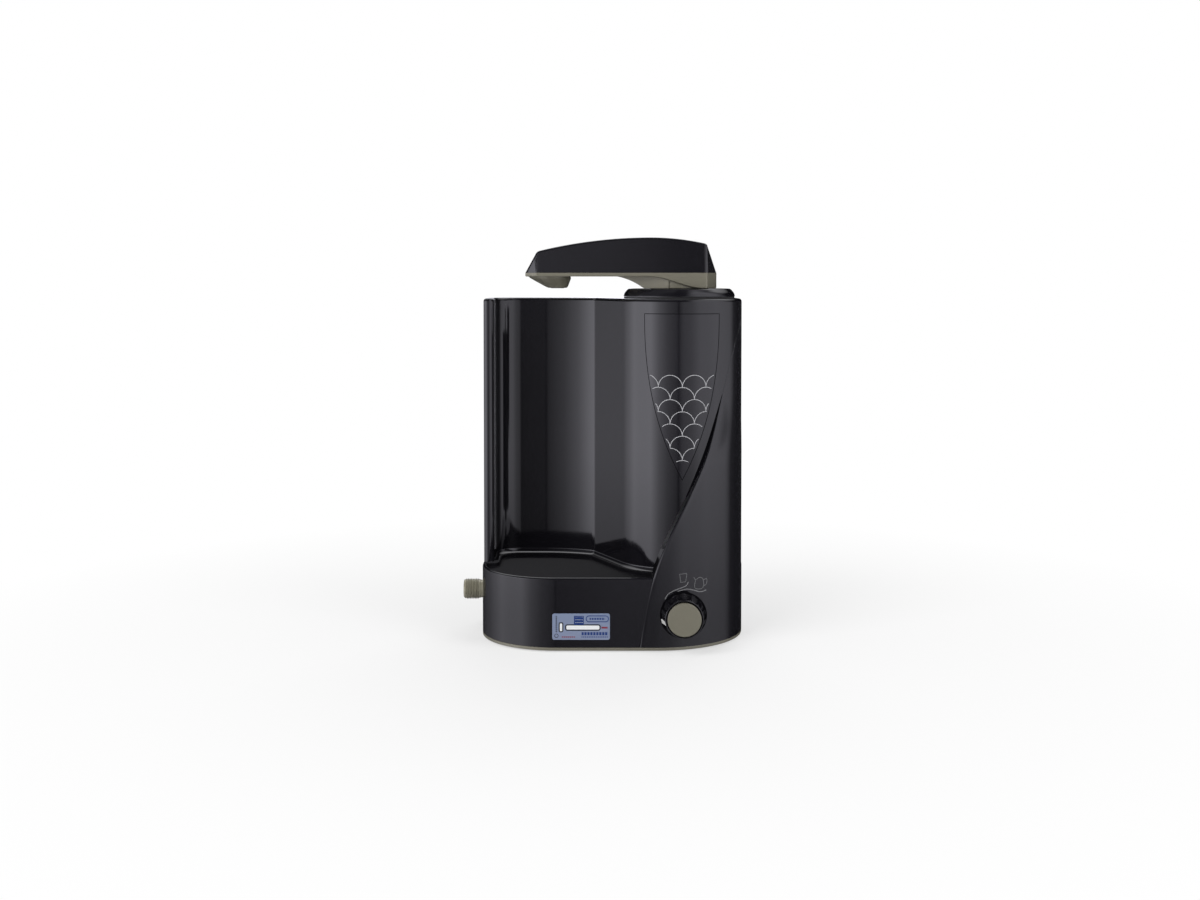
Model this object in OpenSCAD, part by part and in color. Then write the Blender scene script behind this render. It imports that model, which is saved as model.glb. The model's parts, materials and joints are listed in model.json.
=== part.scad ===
// Countertop water purifier: a low base with a glass bay, a round filter column with a swivel spout on top,
// and a rotary valve behind a raised front cover. Millimetres, +Z up, the front faces -Y.
// Shapes are drawn about the middle of the body, then moved so the origin is under the middle of the part.

/* [Body] */
// Width of the base
body_w = 212; // [200:1:226]
// Depth of the base
body_d = 130; // [124:1:140]
// Height of the top face above the counter
body_h = 274; // [256:1:300]
// Thickness of the moulded walls
wall = 2.6; // [2:0.1:3]
// Radius of the left front corner
left_corner_r = 62; // [54:1:66]
// Radius of the right front corner
right_corner_r = 72; // [68:1:76]
// Radius of the two back corners
back_corner_r = 25; // [18:1:28]
// How far the upper housing stands back from the base
upper_inset = 0.5; // [0.3:0.1:1]

/* [Base] */
// Height of the base rim above the counter
base_h = 58; // [54:1:64]
// Depth of the tray below the rim
tray_depth = 4; // [2:0.5:5]
// Thickness of the tray floor
deck_t = 3; // [2:0.5:4]
// Width of the rim round the tray
rim_w = 3; // [2:0.5:5]
// Width of the curb between the tray and the housing
curb_w = 4.5; // [3:0.5:6]
// Thickness of the base plate
plate_t = 2.5; // [2:0.5:3]
// Height of the base plate above the counter
foot_h = 1; // [0.8:0.1:2]
// Radius of the rubber feet
foot_r = 8; // [6:0.5:9]

/* [Glass bay] */
// Depth of the hollow behind the bay
rear_depth = 19; // [17:0.5:22]
// Thickness of the left wall of the bay
left_wall = 8.3; // [7:0.1:10]
// Where the rounded nose of the left wall ends in front, from the middle of the body
nose_y = 0; // [-6:1:6]
// Width of the flat back of the bay with its corner
bay_w = 82; // [76:1:86]
// Radius of the corner between the left wall and the back of the bay
bay_corner_r = 20; // [12:1:26]
// Width of the flat part of the back, before it sweeps forward
sweep_start = 40; // [34:1:46]
// Radius of the sweep
sweep_r = 85; // [75:1:110]

/* [Column] */
// Radius of the filter column
column_r = 51; // [49:0.5:53]

/* [Front cover] */
// How far the cover edge sweeps to each side of the column axis
edge_sweep = 38; // [34:1:40]
// Length over which the edge turns across
edge_run = 75; // [65:1:85]
// Height where the edge crosses the column axis
edge_mid_z = 112; // [104:1:120]
// How far the tip of the cover flares out to the right
edge_flare = 13; // [10:1:13]
// Height where the flare starts
edge_flare_z = 172; // [165:1:180]
// Distance from the top face down to the tip of the cover
cover_drop = 18; // [14:1:26]

/* [Inlay] */
// Width of the V-shaped plate at its top
inlay_w = 63; // [54:1:66]
// Height of the V-shaped plate
inlay_h = 131; // [110:1:136]
// Distance from the top face down to the plate
inlay_drop = 11.5; // [9:0.5:16]
// Thickness of the plate
inlay_t = 0.9; // [0.7:0.1:1.1]

/* [Life indicator] */
// Width of the filter-life card
card_w = 46.8; // [40:0.2:52]
// Height of the filter-life card
card_h = 22; // [16:0.5:26]
// Thickness of the card
card_t = 1; // [0.8:0.1:1.4]
// Depth of the pocket that holds the card
card_sink = 0.5; // [0.3:0.1:0.7]
// Middle of the card from the middle of the body
card_x = -23.8; // [-26:0.2:-16]
// Height of the middle of the card
card_z = 19; // [16:0.5:24]

/* [Knob and valve] */
// Height of the knob axis
knob_z = 29; // [26:0.5:31]
// Radius of the knob at its skirt
knob_r = 17.5; // [16:0.5:18.5]
// Radius of the knob at its front
knob_front_r = 15.2; // [14.5:0.1:15.8]
// Length of the knob without its cap
knob_h = 15; // [13:0.5:17]
// Radius of the metal-look cap
knob_cap_r = 13; // [11:0.5:13.5]
// How far the cap stands out of the knob
knob_cap_proud = 2; // [1:0.5:3]
// Number of grip flutes
flutes = 14; // [10:1:18]
// Radius of the seat under the knob
seat_r = 19; // [18.8:0.1:20]
// Radius of the valve body
valve_r = 13.5; // [12.5:0.5:14.5]
// Length of the valve body
valve_len = 33; // [30:1:36]
// Radius of the valve stem
stem_r = 4; // [3.5:0.1:4.5]
// Thickness of each ceramic disc
disc_t = 4; // [3:0.5:5]

/* [Inlet] */
// Outer radius of the inlet thread, G 3/8
thread_r = 8.33; // [8.33]
// Length of the thread
thread_len = 14; // [12:0.5:16]
// Length of the neck between the thread and the wall
neck_len = 2.6; // [2:0.2:4]
// Distance of the inlet behind the middle of the body
inlet_y = 10; // [8:1:20]
// Height of the inlet axis
inlet_z = 34; // [30:1:36]
// Inner radius of the hoses
hose_bore = 4.3; // [3.8:0.1:4.6]
// Wall of the hoses
hose_wall = 2.2; // [1.5:0.1:2.4]
// Bend radius of the hoses
hose_bend = 12; // [10:0.5:13]

/* [Filter] */
// Radius of the cartridge shell
filter_r = 38; // [34:0.5:40]
// Height of the cartridge with its end caps
filter_h = 164; // [140:1:166]
// Wall of the cartridge shell
filter_wall = 2.4; // [1.8:0.1:3]
// Radius of the hollow through the carbon block
core_bore = 10; // [8:0.5:14]

/* [Filter cap] */
// How far the cap stands inside the edge of the column
cap_step = 5.3; // [4:0.1:7]
// Height of the cap above the top face
cap_h = 8; // [7:0.5:10]
// Length of the cap skirt inside the column
cap_skirt = 12; // [8:1:16]

/* [Spout] */
// Distance from the pivot to the tip
spout_tip = 125.5; // [116:0.5:132]
// Distance from the pivot to the tail
spout_tail = 32.8; // [32.6:0.1:36]
// Half width at the tip
tip_half = 23; // [21:0.5:26]
// Half width at the tail
tail_half = 33; // [32.5:0.5:36]
// Radius of the plan corners
spout_corner_r = 9; // [6:0.5:12]
// Height of the dark cover at its highest point
cover_rise = 28.2; // [26:0.2:32]
// Thickness of the light band under the cover
band_t = 3; // [2.5:0.1:4]
// Drop from the band to the underside of the boss
boss_drop = 9.6; // [9:0.1:12]
// Radius of the boss over the filter cap
boss_r = 31.7; // [29:0.1:32.4]
// Wall of the spout cover
spout_wall = 2.4; // [2:0.1:3]
// Distance from the pivot to the nozzle
nozzle_reach = 99.5; // [94:0.5:106]
// Radius of the nozzle where it leaves the band
nozzle_top_r = 16; // [14:0.5:18]
// Radius of the nozzle at its mouth
nozzle_mouth_r = 7.5; // [7.5:0.1:9.5]
// Radius of the swivel spigot
spigot_r = 11.95; // [11:0.05:12.5]

/* [Fits] */
// Gap between fixed shells
seam = 0.2; // [0.1:0.05:0.3]
// Radial gap where a part turns
turn_gap = 0.06; // [0.03:0.01:0.1]
// Gap under parts that turn above a face
lift = 0.3; // [0.2:0.1:0.5]
// Radius of the screw shanks
screw_r = 1.5; // [1.2:0.1:1.7]

/* [Hidden] */
$fa = 3;
$fs = 0.5;
eps = 0.5;
// How far a straight wall sinks into a round one that it touches, so that the two cross cleanly
touch_sink = 0.02;
big = 2 * (body_w + body_d + body_h);

charcoal = "#2b2a2f";
champagne = "#8a8678";
rubber = "#1c1c1e";
steel = "#b9bcc0";
white = "#e8e8e6";
card_blue = "#9cc3de";
inlay_colour = "#38373d";
carbon = "#242424";
ceramic = "#efe9dc";
brass = "#b08d4a";
clear_hose = "#cfd6d8";

// Levels of the base and of the body
plate_top = foot_h + plate_t;
foot_sink = plate_t / 2;
deck_z = base_h - tray_depth - deck_t;
front = -body_d / 2;
back = body_d / 2;
left = -body_w / 2;
right = body_w / 2;
corner_x = right - right_corner_r;
corner_y = front + right_corner_r;

// Column, tangent to the right side of the base
column_x = right - upper_inset - column_r;
column_y = corner_y;

// Glass bay and the slanted wall that runs from its back to a tangent on the column
bay_back = back - rear_depth;
left_inner = left + upper_inset + left_wall;
nose_r = left_wall / 2;
sweep_x = left_inner + sweep_start;
sweep_y = bay_back - sweep_r;
slant_foot = [left_inner + bay_w, sweep_y + sqrt(pow(sweep_r, 2) - pow(bay_w - sweep_start, 2))];
slant_reach = norm(slant_foot - [column_x, column_y]);
slant_turn = atan2(slant_foot.y - column_y, slant_foot.x - column_x) + acos(column_r / slant_reach);

// Front cover
cover_top = body_h - cover_drop;
cover_end_gap = 13;
cover_end_y = column_y - cover_end_gap;
edge_wall = wall * 1.2;
edge_steps = 44;
tray_gap = 1;
tray_right = cover_edge(base_h) - tray_gap;

// Knob, its seat and the valve behind it
knob_x = column_x;
knob_proud = lift + knob_h + knob_cap_proud;
seat_t = 3.5;
seat_back = front + seat_t;
pad_back = front_surface(knob_x + seat_r) + wall;
nose_valve_r = stem_r * 2;
nut_t = 3;
nut_r = nose_valve_r + 3.5;
valve_back = seat_back + valve_len;
chamber_r = valve_r - 2.5;
gland_len = 15;
chamber_front = seat_back + gland_len;
driver_t = 2;
disc_front = chamber_front + lift + driver_t;
disc_joint = disc_front + disc_t;
disc_back = disc_joint + disc_t;
nut_gap = 1.2;
knob_cavity = nut_t + 2 * nut_gap;
knob_web = 4;
stem_front = front - lift - knob_h + knob_web;
cap_sink = 2;
cap_chamfer = 1;
flute_r = 2.2;
flute_out = 1;
pointer_turn = 196;
pointer_half = 1;
pointer_depth = 1.5;
stem_seal_r = 0.75;

// Hoses and barbs
press = 0.1;
hose_r = hose_bore + hose_wall;
barb_r = hose_bore - press;
barb_bore = barb_r - 1.2;
barb_len = 12;
hose_cross_gap = 40;
hose_cross_x = knob_x - hose_cross_gap;
port_x = knob_x - valve_r - 1;
clip_w = 5;
clip_t = 1.2;
clip_gap = 1;
clip_in = hose_r + press;
clip_from_end = 3;
port_y = pad_back + clip_in + clip_t + clip_gap;

// Inlet fitting in the left wall
collar_r = thread_r + 1.3;
collar_t = 0.8;
neck_r = thread_r - 0.9;
inlet_len = thread_len + neck_len;
gasket_t = 1.5;
inlet_nut_t = 5;
inlet_nut_r = neck_r + 5;
inlet_barb_x = left + wall + gasket_t + inlet_nut_t + 2;

// Filter manifold, cartridge and the neck that joins them
flange_r = column_r - wall - 4;
flange_t = 4;
deck_hole_r = flange_r - 8;
neck_filter_r = 12;
cup_h = 14;
cup_top = base_h + flange_t + cup_h;
end_cap_h = 10;
end_cap_t = 3;
filter_top = cup_top + filter_h;
outlet_r = 5.9;

// Filter cap and swivel
cap_r = column_r - cap_step;
cap_open_r = cap_r - 2;
cap_skirt_r = cap_open_r - seam;
cap_top = body_h + cap_h;
cap_dish = 1.5;
cap_disc_t = 4;
hub_r = spigot_r + turn_gap + 4;
hub_gap = 12;
hub_bottom = filter_top + hub_gap;
hub_top = cap_top - cap_dish;
spigot_tail = 4;
spigot_bottom = hub_bottom - spigot_tail;
clip_thick = 1.7;
groove_w = 2;
spigot_groove = 1.6;
spigot_seal_z = [for (share = [0.3, 0.65]) hub_bottom + share * (hub_top - hub_bottom)];
outlet_seal_z = hub_bottom + hub_gap / 3;
outlet_end = hub_bottom + hub_gap * 0.8;

// Spout levels and side arcs
boss_z = cap_top + lift;
band_z = boss_z + boss_drop;
cover_z = band_z + band_t;
spout_top = cover_z + cover_rise;
apex_x = -24.5;
tip_arc_r = 380;
tail_arc_r = 198;
tip_lean = 30;
tail_lean = 22;
swoosh_start = -26;
swoosh_end = 18;
boss_floor = 3;
socket_r = spigot_r + 3.8;
tube_bend = 10;
tube_run_z = cover_z + 9;
nozzle_step = 3.2;
lip_h = 3;
lip_t = 1.6;
lip_in = spout_wall / cos(tip_lean) + lip_h * tan(tip_lean) + seam;
socket_wall = 2.3;
mouth_t = 1.5;
nozzle_wall = 2;
shower_r = 2;
shower_hole_r = 0.8;

// Rear cover window, with a ledge inside it
rear_face = back - upper_inset;
rear_inner = rear_face - 2 * wall;
rear_ledge = 10;
rear_left = left + 28;
rear_right = right - 28;
rear_low = base_h + 12;
rear_high = body_h - 12;
rear_boss = 5;

// Screws: pan heads, and the posts that take them
head_r = screw_r * 2;
head_h = 1.2;
post_r = screw_r + 2.6;
pilot_r = screw_r + 0.05;
shank = 9;
head_sink = 0.4;
screw_bite = 5;
post_root = 0.6;
housing_post_y = rear_inner - post_r + post_root;
base_posts = [on_plan(0.21, 0.22), on_plan(0.12, 0.84), on_plan(0.49, 0.885), on_plan(0.915, 0.84)];
cover_post_in = wall + post_r - post_root;
cover_post_turn = 40;
cover_posts = [
    [cover_edge(plate_top) + 10, front + cover_post_in],
    [corner_x, corner_y] + (right_corner_r - cover_post_in) * [cos(cover_post_turn), -sin(cover_post_turn)],
];
corner_post = (back_corner_r - upper_inset - wall - post_r + post_root) * [cos(45), sin(45)];
housing_posts = [
    [left + back_corner_r - corner_post.x, back - back_corner_r + corner_post.y],
    [on_plan(0.31, 1).x, housing_post_y],
    [column_x - flange_r - post_r - post_root, housing_post_y],
    [right - back_corner_r + corner_post.x, back - back_corner_r + corner_post.y],
];
feet = [on_plan(0.283, 0.131), on_plan(0.811, 0.208), on_plan(0.085, 0.723), on_plan(0.925, 0.715)];
manifold_turns = [90, 210, 330];

rear_posts = [
    for (x = [rear_left + rear_ledge / 2, rear_right - rear_ledge / 2])
        for (z = [rear_low + rear_ledge / 2, rear_high - rear_ledge / 2]) [x, z]
];

// Spout screws, from the pivot
arm_screws = [[-62, -15], [-62, 15]];
boss_screws = [[16, -16], [16, 16]];

// Frame: the part stands on z = 0 with the origin under the middle of its box
frame_x = inlet_len / 2;
frame_y = knob_proud / 2;

// Point at a share of the width from the left and of the depth from the front
function on_plan(across, deep) = [left + across * body_w, front + deep * body_d];

// Hyperbolic tangent, for the S-shaped edge of the front cover
function tanh(t) = (exp(2 * t) - 1) / (exp(2 * t) + 1);

// X of the cover edge at a height
function cover_edge(z) =
    right - upper_inset - column_r + edge_sweep * tanh((z - edge_mid_z) / edge_run)
    + edge_flare * pow(max(0, (z - edge_flare_z) / (body_h - cover_drop - edge_flare_z)), 2);

// Y of the front surface at an X
function front_surface(x) =
    x < corner_x ? front : corner_y - sqrt(pow(right_corner_r, 2) - pow(x - corner_x, 2));

// Tangent point on the column and foot of the slanted wall, moved into the wall by g
function slant_touch(g) =
    [column_x, column_y] + (column_r - g - touch_sink) * [cos(slant_turn), sin(slant_turn)];
function slant_end(g) =
    let (touch = slant_touch(g), along = [sin(slant_turn), -cos(slant_turn)])
    touch + along * ((bay_back + g - touch.y) / along.y);

module place() {
    translate([frame_x, frame_y, 0]) children();
}

module quarter(r, turn) {
    rotate(turn) intersection() {
        circle(r);
        square(r);
    }
}

// Plan of the base, moved inwards by an inset
module body_plan(inset = 0) {
    x0 = left + inset;
    x1 = right - inset;
    y0 = front + inset;
    y1 = back - inset;
    fl = left_corner_r - inset;
    fr = right_corner_r - inset;
    bk = back_corner_r - inset;
    polygon([
        [x0 + fl, y0], [x1 - fr, y0], [x1, y0 + fr], [x1, y1 - bk],
        [x1 - bk, y1], [x0 + bk, y1], [x0, y1 - bk], [x0, y0 + fl],
    ]);
    translate([x0 + fl, y0 + fl]) quarter(fl, 180);
    translate([x1 - fr, y0 + fr]) quarter(fr, 270);
    translate([x1 - bk, y1 - bk]) quarter(bk, 0);
    translate([x0 + bk, y1 - bk]) quarter(bk, 90);
}

module slab(z0, z1, inset = 0) {
    translate([0, 0, z0]) linear_extrude(z1 - z0) body_plan(inset);
}

// Plan of the upper housing: column, slanted wall, back and left wall. A positive g moves into the wall.
module housing_plan(g = 0) {
    intersection() {
        body_plan(upper_inset + g);
        union() {
            translate([column_x, column_y]) circle(column_r - g);
            polygon([slant_touch(g), slant_end(g), [column_x, bay_back + g], [column_x, column_y]]);
            translate([left, bay_back + g]) square([body_w, rear_depth]);
            difference() {
                translate([sweep_x, column_y]) square([column_x - sweep_x, bay_back + g - column_y]);
                translate([sweep_x, sweep_y]) circle(sweep_r + g);
            }
            translate([column_x, column_y]) square([right - column_x, back - column_y]);
            if (g <= 0) left_wall_plan(g);
        }
    }
}

module left_wall_plan(g) {
    corner = bay_corner_r + g;
    translate([left, nose_y + nose_r]) square([left_inner - left - g, back - nose_y - nose_r]);
    translate([left + upper_inset + nose_r, nose_y + nose_r]) circle(nose_r - g);
    translate([left_inner - g, bay_back + g]) difference() {
        translate([-eps, -corner]) square([corner + eps, corner + eps]);
        translate([corner, -corner]) circle(corner);
    }
}

// Everything to the right of the cover edge and in front of the cover's end
module edge_prism(shift, end_y) {
    step = (cover_top - plate_top) / edge_steps;
    edge = [for (i = [0 : edge_steps]) let (z = plate_top + i * step) [cover_edge(z) + shift, z]];
    translate([0, end_y, 0]) rotate([90, 0, 0]) linear_extrude(body_d) polygon(concat(
        [[right + eps, plate_top - eps], [edge[0].x, plate_top - eps]],
        edge,
        [[right + eps, cover_top]]
    ));
}

// V shape of the inlay plate in front view, with a gap round it
module inlay_plan(gap) {
    low = body_h - inlay_drop - inlay_h;
    steps = 20;
    sides = [for (i = [0 : steps]) let (t = i / steps)
        [inlay_w / 2 * (1 - pow(1 - t, 2.2)) + gap, low + t * (inlay_h + 2 * gap) - gap]];
    polygon(concat(sides, [for (i = [steps : -1 : 0]) [-sides[i].x, sides[i].y]]));
}

// Cylinder along +Y from y0 to y1, at an X and a height
module rod_y(x, z, r, y0, y1) {
    translate([x, y0, z]) rotate([-90, 0, 0]) cylinder(r = r, h = y1 - y0);
}

// Cylinder along +X from x0 to x1, at a Y and a height
module rod_x(y, z, r, x0, x1) {
    translate([x0, y, z]) rotate([0, 90, 0]) cylinder(r = r, h = x1 - x0);
}

module ring(r_in, r_out, h) {
    difference() {
        cylinder(r = r_out, h = h);
        translate([0, 0, -eps]) cylinder(r = r_in, h = h + 2 * eps);
    }
}

module torus(r, tube) {
    rotate_extrude() translate([r, 0]) circle(tube);
}

// Straight hose along +Z and a quarter bend from +X to +Y about the origin
module hose_run(length) {
    ring(hose_bore, hose_r, length);
}

module hose_elbow(bend) {
    rotate_extrude(angle = 90) translate([bend, 0]) difference() {
        circle(hose_r);
        circle(hose_bore);
    }
}

module barb(length) {
    cylinder(r = barb_r, h = length);
}

// Pan-head screw along +Z with its head at the bottom
module screw(length) {
    cylinder(r = head_r, h = head_h);
    translate([0, 0, head_h]) cylinder(r = screw_r, h = length);
}

module base_plate() {
    color(champagne) place() difference() {
        slab(foot_h, plate_top);
        for (p = feet) translate([p.x, p.y, foot_h - eps]) cylinder(r = foot_r + seam, h = foot_sink + eps);
        for (p = concat(base_posts, cover_posts)) translate([p.x, p.y, foot_h - eps]) {
            cylinder(r = head_r + seam, h = head_h + eps);
            cylinder(r = screw_r + seam, h = plate_t + 2 * eps);
        }
    }
}

module rubber_feet() {
    color(rubber) place() for (p = feet) translate([p.x, p.y, 0])
        cylinder(r = foot_r, h = foot_h + foot_sink);
}

module base_screws() {
    color(steel) place() for (p = concat(base_posts, cover_posts)) translate([p.x, p.y, foot_h]) screw(shank);
}

module base_housing() {
    color(charcoal) place() difference() {
        union() {
            difference() {
                slab(plate_top, base_h);
                slab(plate_top - eps, deck_z, wall);
                edge_prism(-seam, cover_end_y + seam);
            }
            slab(deck_z, base_h, wall + seam);
            for (p = base_posts) translate([p.x, p.y, plate_top])
                cylinder(r = post_r, h = deck_z - plate_top + eps);
        }
        translate([0, 0, base_h - tray_depth]) linear_extrude(tray_depth + eps) tray_plan();
        translate([column_x, column_y, deck_z - eps]) cylinder(r = deck_hole_r, h = base_h);
        for (p = base_posts) translate([p.x, p.y, plate_top - eps]) cylinder(r = pilot_r, h = shank + eps);
        for (p = housing_posts) translate([p.x, p.y, deck_z - eps])
            cylinder(r = screw_r + seam, h = base_h);
        for (a = manifold_turns) manifold_screw_at(a) translate([0, 0, deck_z - eps])
            cylinder(r = pilot_r, h = base_h);
        rod_x(inlet_y, inlet_z, neck_r + seam, left - eps, left + wall + eps);
        rod_x(inlet_y, inlet_z, collar_r + seam, left - eps, left + collar_t);
        translate([card_x - card_w / 2 - seam, front - eps, card_z - card_h / 2 - seam])
            cube([card_w + 2 * seam, card_sink + eps, card_h + 2 * seam]);
    }
}

// Recess of the tray: the open bay inside the rim, clear of the housing by the curb
module tray_plan() {
    difference() {
        intersection() {
            body_plan(rim_w);
            translate([left, front]) square([tray_right - left, body_d]);
        }
        housing_plan(-curb_w);
    }
}

module manifold_screw_at(turn) {
    on_pivot() rotate(turn) translate([(flange_r + deck_hole_r) / 2, 0, 0]) children();
}

module life_indicator() {
    color(card_blue) place() translate([card_x - card_w / 2, front + card_sink - card_t, card_z - card_h / 2])
        cube([card_w, card_t, card_h]);
}

module upper_housing() {
    color(charcoal) place() difference() {
        union() {
            difference() {
                translate([0, 0, base_h]) linear_extrude(body_h - base_h) housing_plan();
                translate([0, 0, base_h - eps]) linear_extrude(body_h - wall - base_h + eps) intersection() {
                    housing_plan(wall);
                    translate([left, front]) square([body_w, rear_inner - front]);
                }
            }
            for (p = housing_posts) translate([p.x, p.y, base_h])
                cylinder(r = post_r, h = 2 * shank);
            for (p = rear_posts) rod_y(p.x, p.y, post_r, rear_inner - rear_boss, rear_inner + eps);
        }
        translate([column_x, column_y, base_h]) cylinder(r = cap_open_r, h = big);
        translate([rear_left, rear_face - wall, rear_low])
            cube([rear_right - rear_left, rear_depth, rear_high - rear_low]);
        rear_opening();
        for (p = housing_posts) translate([p.x, p.y, base_h - eps])
            cylinder(r = pilot_r, h = shank + eps);
        for (p = rear_posts) rod_y(p.x, p.y, pilot_r, rear_inner - rear_boss - eps, back);
        inlay_shell(column_r - inlay_t - seam / 2, column_r + eps, seam);
    }
}

// Opening inside the ledge that carries the rear cover, with corners left for the screw bosses
module rear_opening() {
    corner = rear_ledge + post_r;
    for (in_x = [rear_ledge, corner]) {
        in_z = in_x == corner ? rear_ledge : corner;
        translate([rear_left + in_x, rear_inner - eps, rear_low + in_z])
            cube([rear_right - rear_left - 2 * in_x, rear_depth, rear_high - rear_low - 2 * in_z]);
    }
}

// Part of a ring on the column, cut to the V shape
module inlay_shell(r_in, r_out, gap) {
    intersection() {
        translate([column_x, column_y, base_h]) ring(r_in, r_out, body_h);
        translate([column_x, column_y, 0]) rotate([90, 0, 0]) linear_extrude(big) inlay_plan(gap);
    }
}

module housing_screws() {
    color(steel) place() for (p = housing_posts) translate([p.x, p.y, deck_z - head_h])
        screw(base_h - deck_z + shank - eps);
}

module rear_cover() {
    color(charcoal) place() difference() {
        translate([rear_left + seam, rear_face - wall, rear_low + seam])
            cube([rear_right - rear_left - 2 * seam, wall, rear_high - rear_low - 2 * seam]);
        for (p = rear_posts) {
            rod_y(p.x, p.y, screw_r + seam, rear_face - wall - eps, back + eps);
            rod_y(p.x, p.y, head_r + seam, rear_face - head_h, back + eps);
        }
    }
}

module rear_screws() {
    color(steel) place() for (p = rear_posts) translate([p.x, rear_face, p.y]) rotate([90, 0, 0])
        screw(rear_boss + wall);
}

module front_cover() {
    color(charcoal) place() difference() {
        union() {
            difference() {
                intersection() {
                    slab(plate_top, cover_top);
                    edge_prism(0, cover_end_y);
                }
                slab(plate_top - eps, base_h, wall);
                intersection() {
                    slab(base_h - eps, cover_top, wall);
                    edge_prism(edge_wall, cover_end_y);
                }
            }
            rod_y(knob_x, knob_z, seat_r, front, pad_back);
            for (p = cover_posts) translate([p.x, p.y, plate_top]) cylinder(r = post_r, h = 2 * shank);
        }
        translate([column_x, column_y, base_h - eps]) cylinder(r = column_r + seam, h = big);
        rod_y(knob_x, knob_z, valve_r + seam, seat_back, pad_back + eps);
        rod_y(knob_x, knob_z, nose_valve_r + seam, front - eps, pad_back);
        for (p = cover_posts) translate([p.x, p.y, plate_top - eps]) cylinder(r = pilot_r, h = shank + eps);
    }
}

module inlay_plate() {
    color(inlay_colour) place() inlay_shell(column_r - inlay_t, column_r, 0);
}

module inlet_nipple() {
    color(champagne) place() difference() {
        union() {
            rod_x(inlet_y, inlet_z, thread_r, left - inlet_len, left - neck_len);
            rod_x(inlet_y, inlet_z, neck_r, left - neck_len - eps, inlet_barb_x);
            rod_x(inlet_y, inlet_z, collar_r, left, left + collar_t);
            rod_x(inlet_y, inlet_z, barb_r, inlet_barb_x - eps, inlet_barb_x + barb_len);
        }
        rod_x(inlet_y, inlet_z, neck_r - 2.6, left - inlet_len - eps, left);
        rod_x(inlet_y, inlet_z, barb_bore, left - eps, inlet_barb_x + barb_len + eps);
    }
}

module inlet_gasket() {
    color(rubber) place() translate([left + wall, inlet_y, inlet_z]) rotate([0, 90, 0])
        ring(neck_r + seam / 2, inlet_nut_r - 1.5, gasket_t);
}

module inlet_nut() {
    color(brass) place() translate([left + wall + gasket_t, inlet_y, inlet_z]) rotate([0, 90, 0])
        difference() {
            cylinder(r = inlet_nut_r, h = inlet_nut_t, $fn = 6);
            translate([0, 0, -eps]) cylinder(r = neck_r + seam / 2, h = inlet_nut_t + 2 * eps);
        }
}

// From the inlet, across the base and forward to the side port of the valve
module inlet_hose() {
    color(clear_hose) place() translate([0, 0, inlet_z]) {
        first_end = hose_cross_x - hose_bend;
        last_start = hose_cross_x + hose_bend;
        translate([inlet_barb_x, inlet_y, 0]) rotate([0, 90, 0]) hose_run(first_end - inlet_barb_x);
        translate([first_end, inlet_y - hose_bend, 0]) hose_elbow(hose_bend);
        translate([hose_cross_x, port_y + hose_bend, 0]) rotate([-90, 0, 0])
            hose_run(inlet_y - port_y - 2 * hose_bend);
        translate([last_start, port_y + hose_bend, 0]) rotate(180) hose_elbow(hose_bend);
        translate([last_start, port_y, 0]) rotate([0, 90, 0]) hose_run(port_x - last_start);
    }
}

// From the back of the valve, up the column axis to the manifold
module outlet_hose() {
    color(clear_hose) place() {
        turn_y = column_y - hose_bend;
        turn_z = knob_z + hose_bend;
        translate([knob_x, valve_back + wall, knob_z]) rotate([-90, 0, 0])
            hose_run(turn_y - valve_back - wall);
        translate([knob_x, turn_y, turn_z]) rotate([0, 90, 0]) hose_elbow(hose_bend);
        translate([column_x, column_y, turn_z]) hose_run(base_h - turn_z);
    }
}

module clip() {
    ring(clip_in, clip_in + clip_t, clip_w);
}

module hose_clips() {
    color(steel) place() {
        translate([inlet_barb_x + clip_from_end, inlet_y, inlet_z]) rotate([0, 90, 0]) clip();
        translate([port_x - clip_from_end - clip_w, port_y, inlet_z]) rotate([0, 90, 0]) clip();
        translate([knob_x, valve_back + wall + clip_from_end, knob_z]) rotate([-90, 0, 0]) clip();
        translate([column_x, column_y, base_h - clip_from_end - clip_w]) clip();
    }
}

module valve_body() {
    color(brass) place() difference() {
        union() {
            rod_y(knob_x, knob_z, valve_r, seat_back, valve_back);
            rod_y(knob_x, knob_z, nose_valve_r, front - nut_t, seat_back + eps);
            rod_x(port_y, inlet_z, hose_r, port_x, knob_x);
            rod_x(port_y, inlet_z, barb_r, port_x - barb_len, port_x + eps);
        }
        rod_y(knob_x, knob_z, stem_r + turn_gap, front - nut_t - eps, chamber_front + eps);
        rod_y(knob_x, knob_z, stem_r + 2 * stem_seal_r + press, front, front + groove_w);
        rod_y(knob_x, knob_z, chamber_r, chamber_front, valve_back + eps);
        rod_x(port_y, inlet_z, barb_bore, port_x - barb_len - eps, knob_x);
    }
}

// Plug that holds the fixed disc, with the outlet barb
module valve_cap() {
    color(brass) place() difference() {
        union() {
            rod_y(knob_x, knob_z, chamber_r - seam / 2, disc_back, valve_back + eps);
            rod_y(knob_x, knob_z, valve_r, valve_back, valve_back + wall);
            rod_y(knob_x, knob_z, barb_r, valve_back, valve_back + wall + barb_len);
        }
        rod_y(knob_x, knob_z, chamber_r - 3, disc_back - eps, valve_back - wall);
        rod_y(knob_x, knob_z, barb_bore, valve_back - wall - eps, valve_back + wall + barb_len + eps);
    }
}

module valve_nut() {
    color(brass) place() translate([knob_x, front, knob_z]) rotate([90, 0, 0]) difference() {
        cylinder(r = nut_r, h = nut_t, $fn = 6);
        translate([0, 0, -eps]) cylinder(r = nose_valve_r + seam / 2, h = nut_t + 2 * eps);
    }
}

// Ceramic disc with one off-centre port
module port_disc(r, y) {
    difference() {
        rod_y(knob_x, knob_z, r, y, y + disc_t);
        rod_y(knob_x, knob_z + chamber_r / 2, barb_bore, y - eps, y + disc_t + eps);
    }
}

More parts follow.
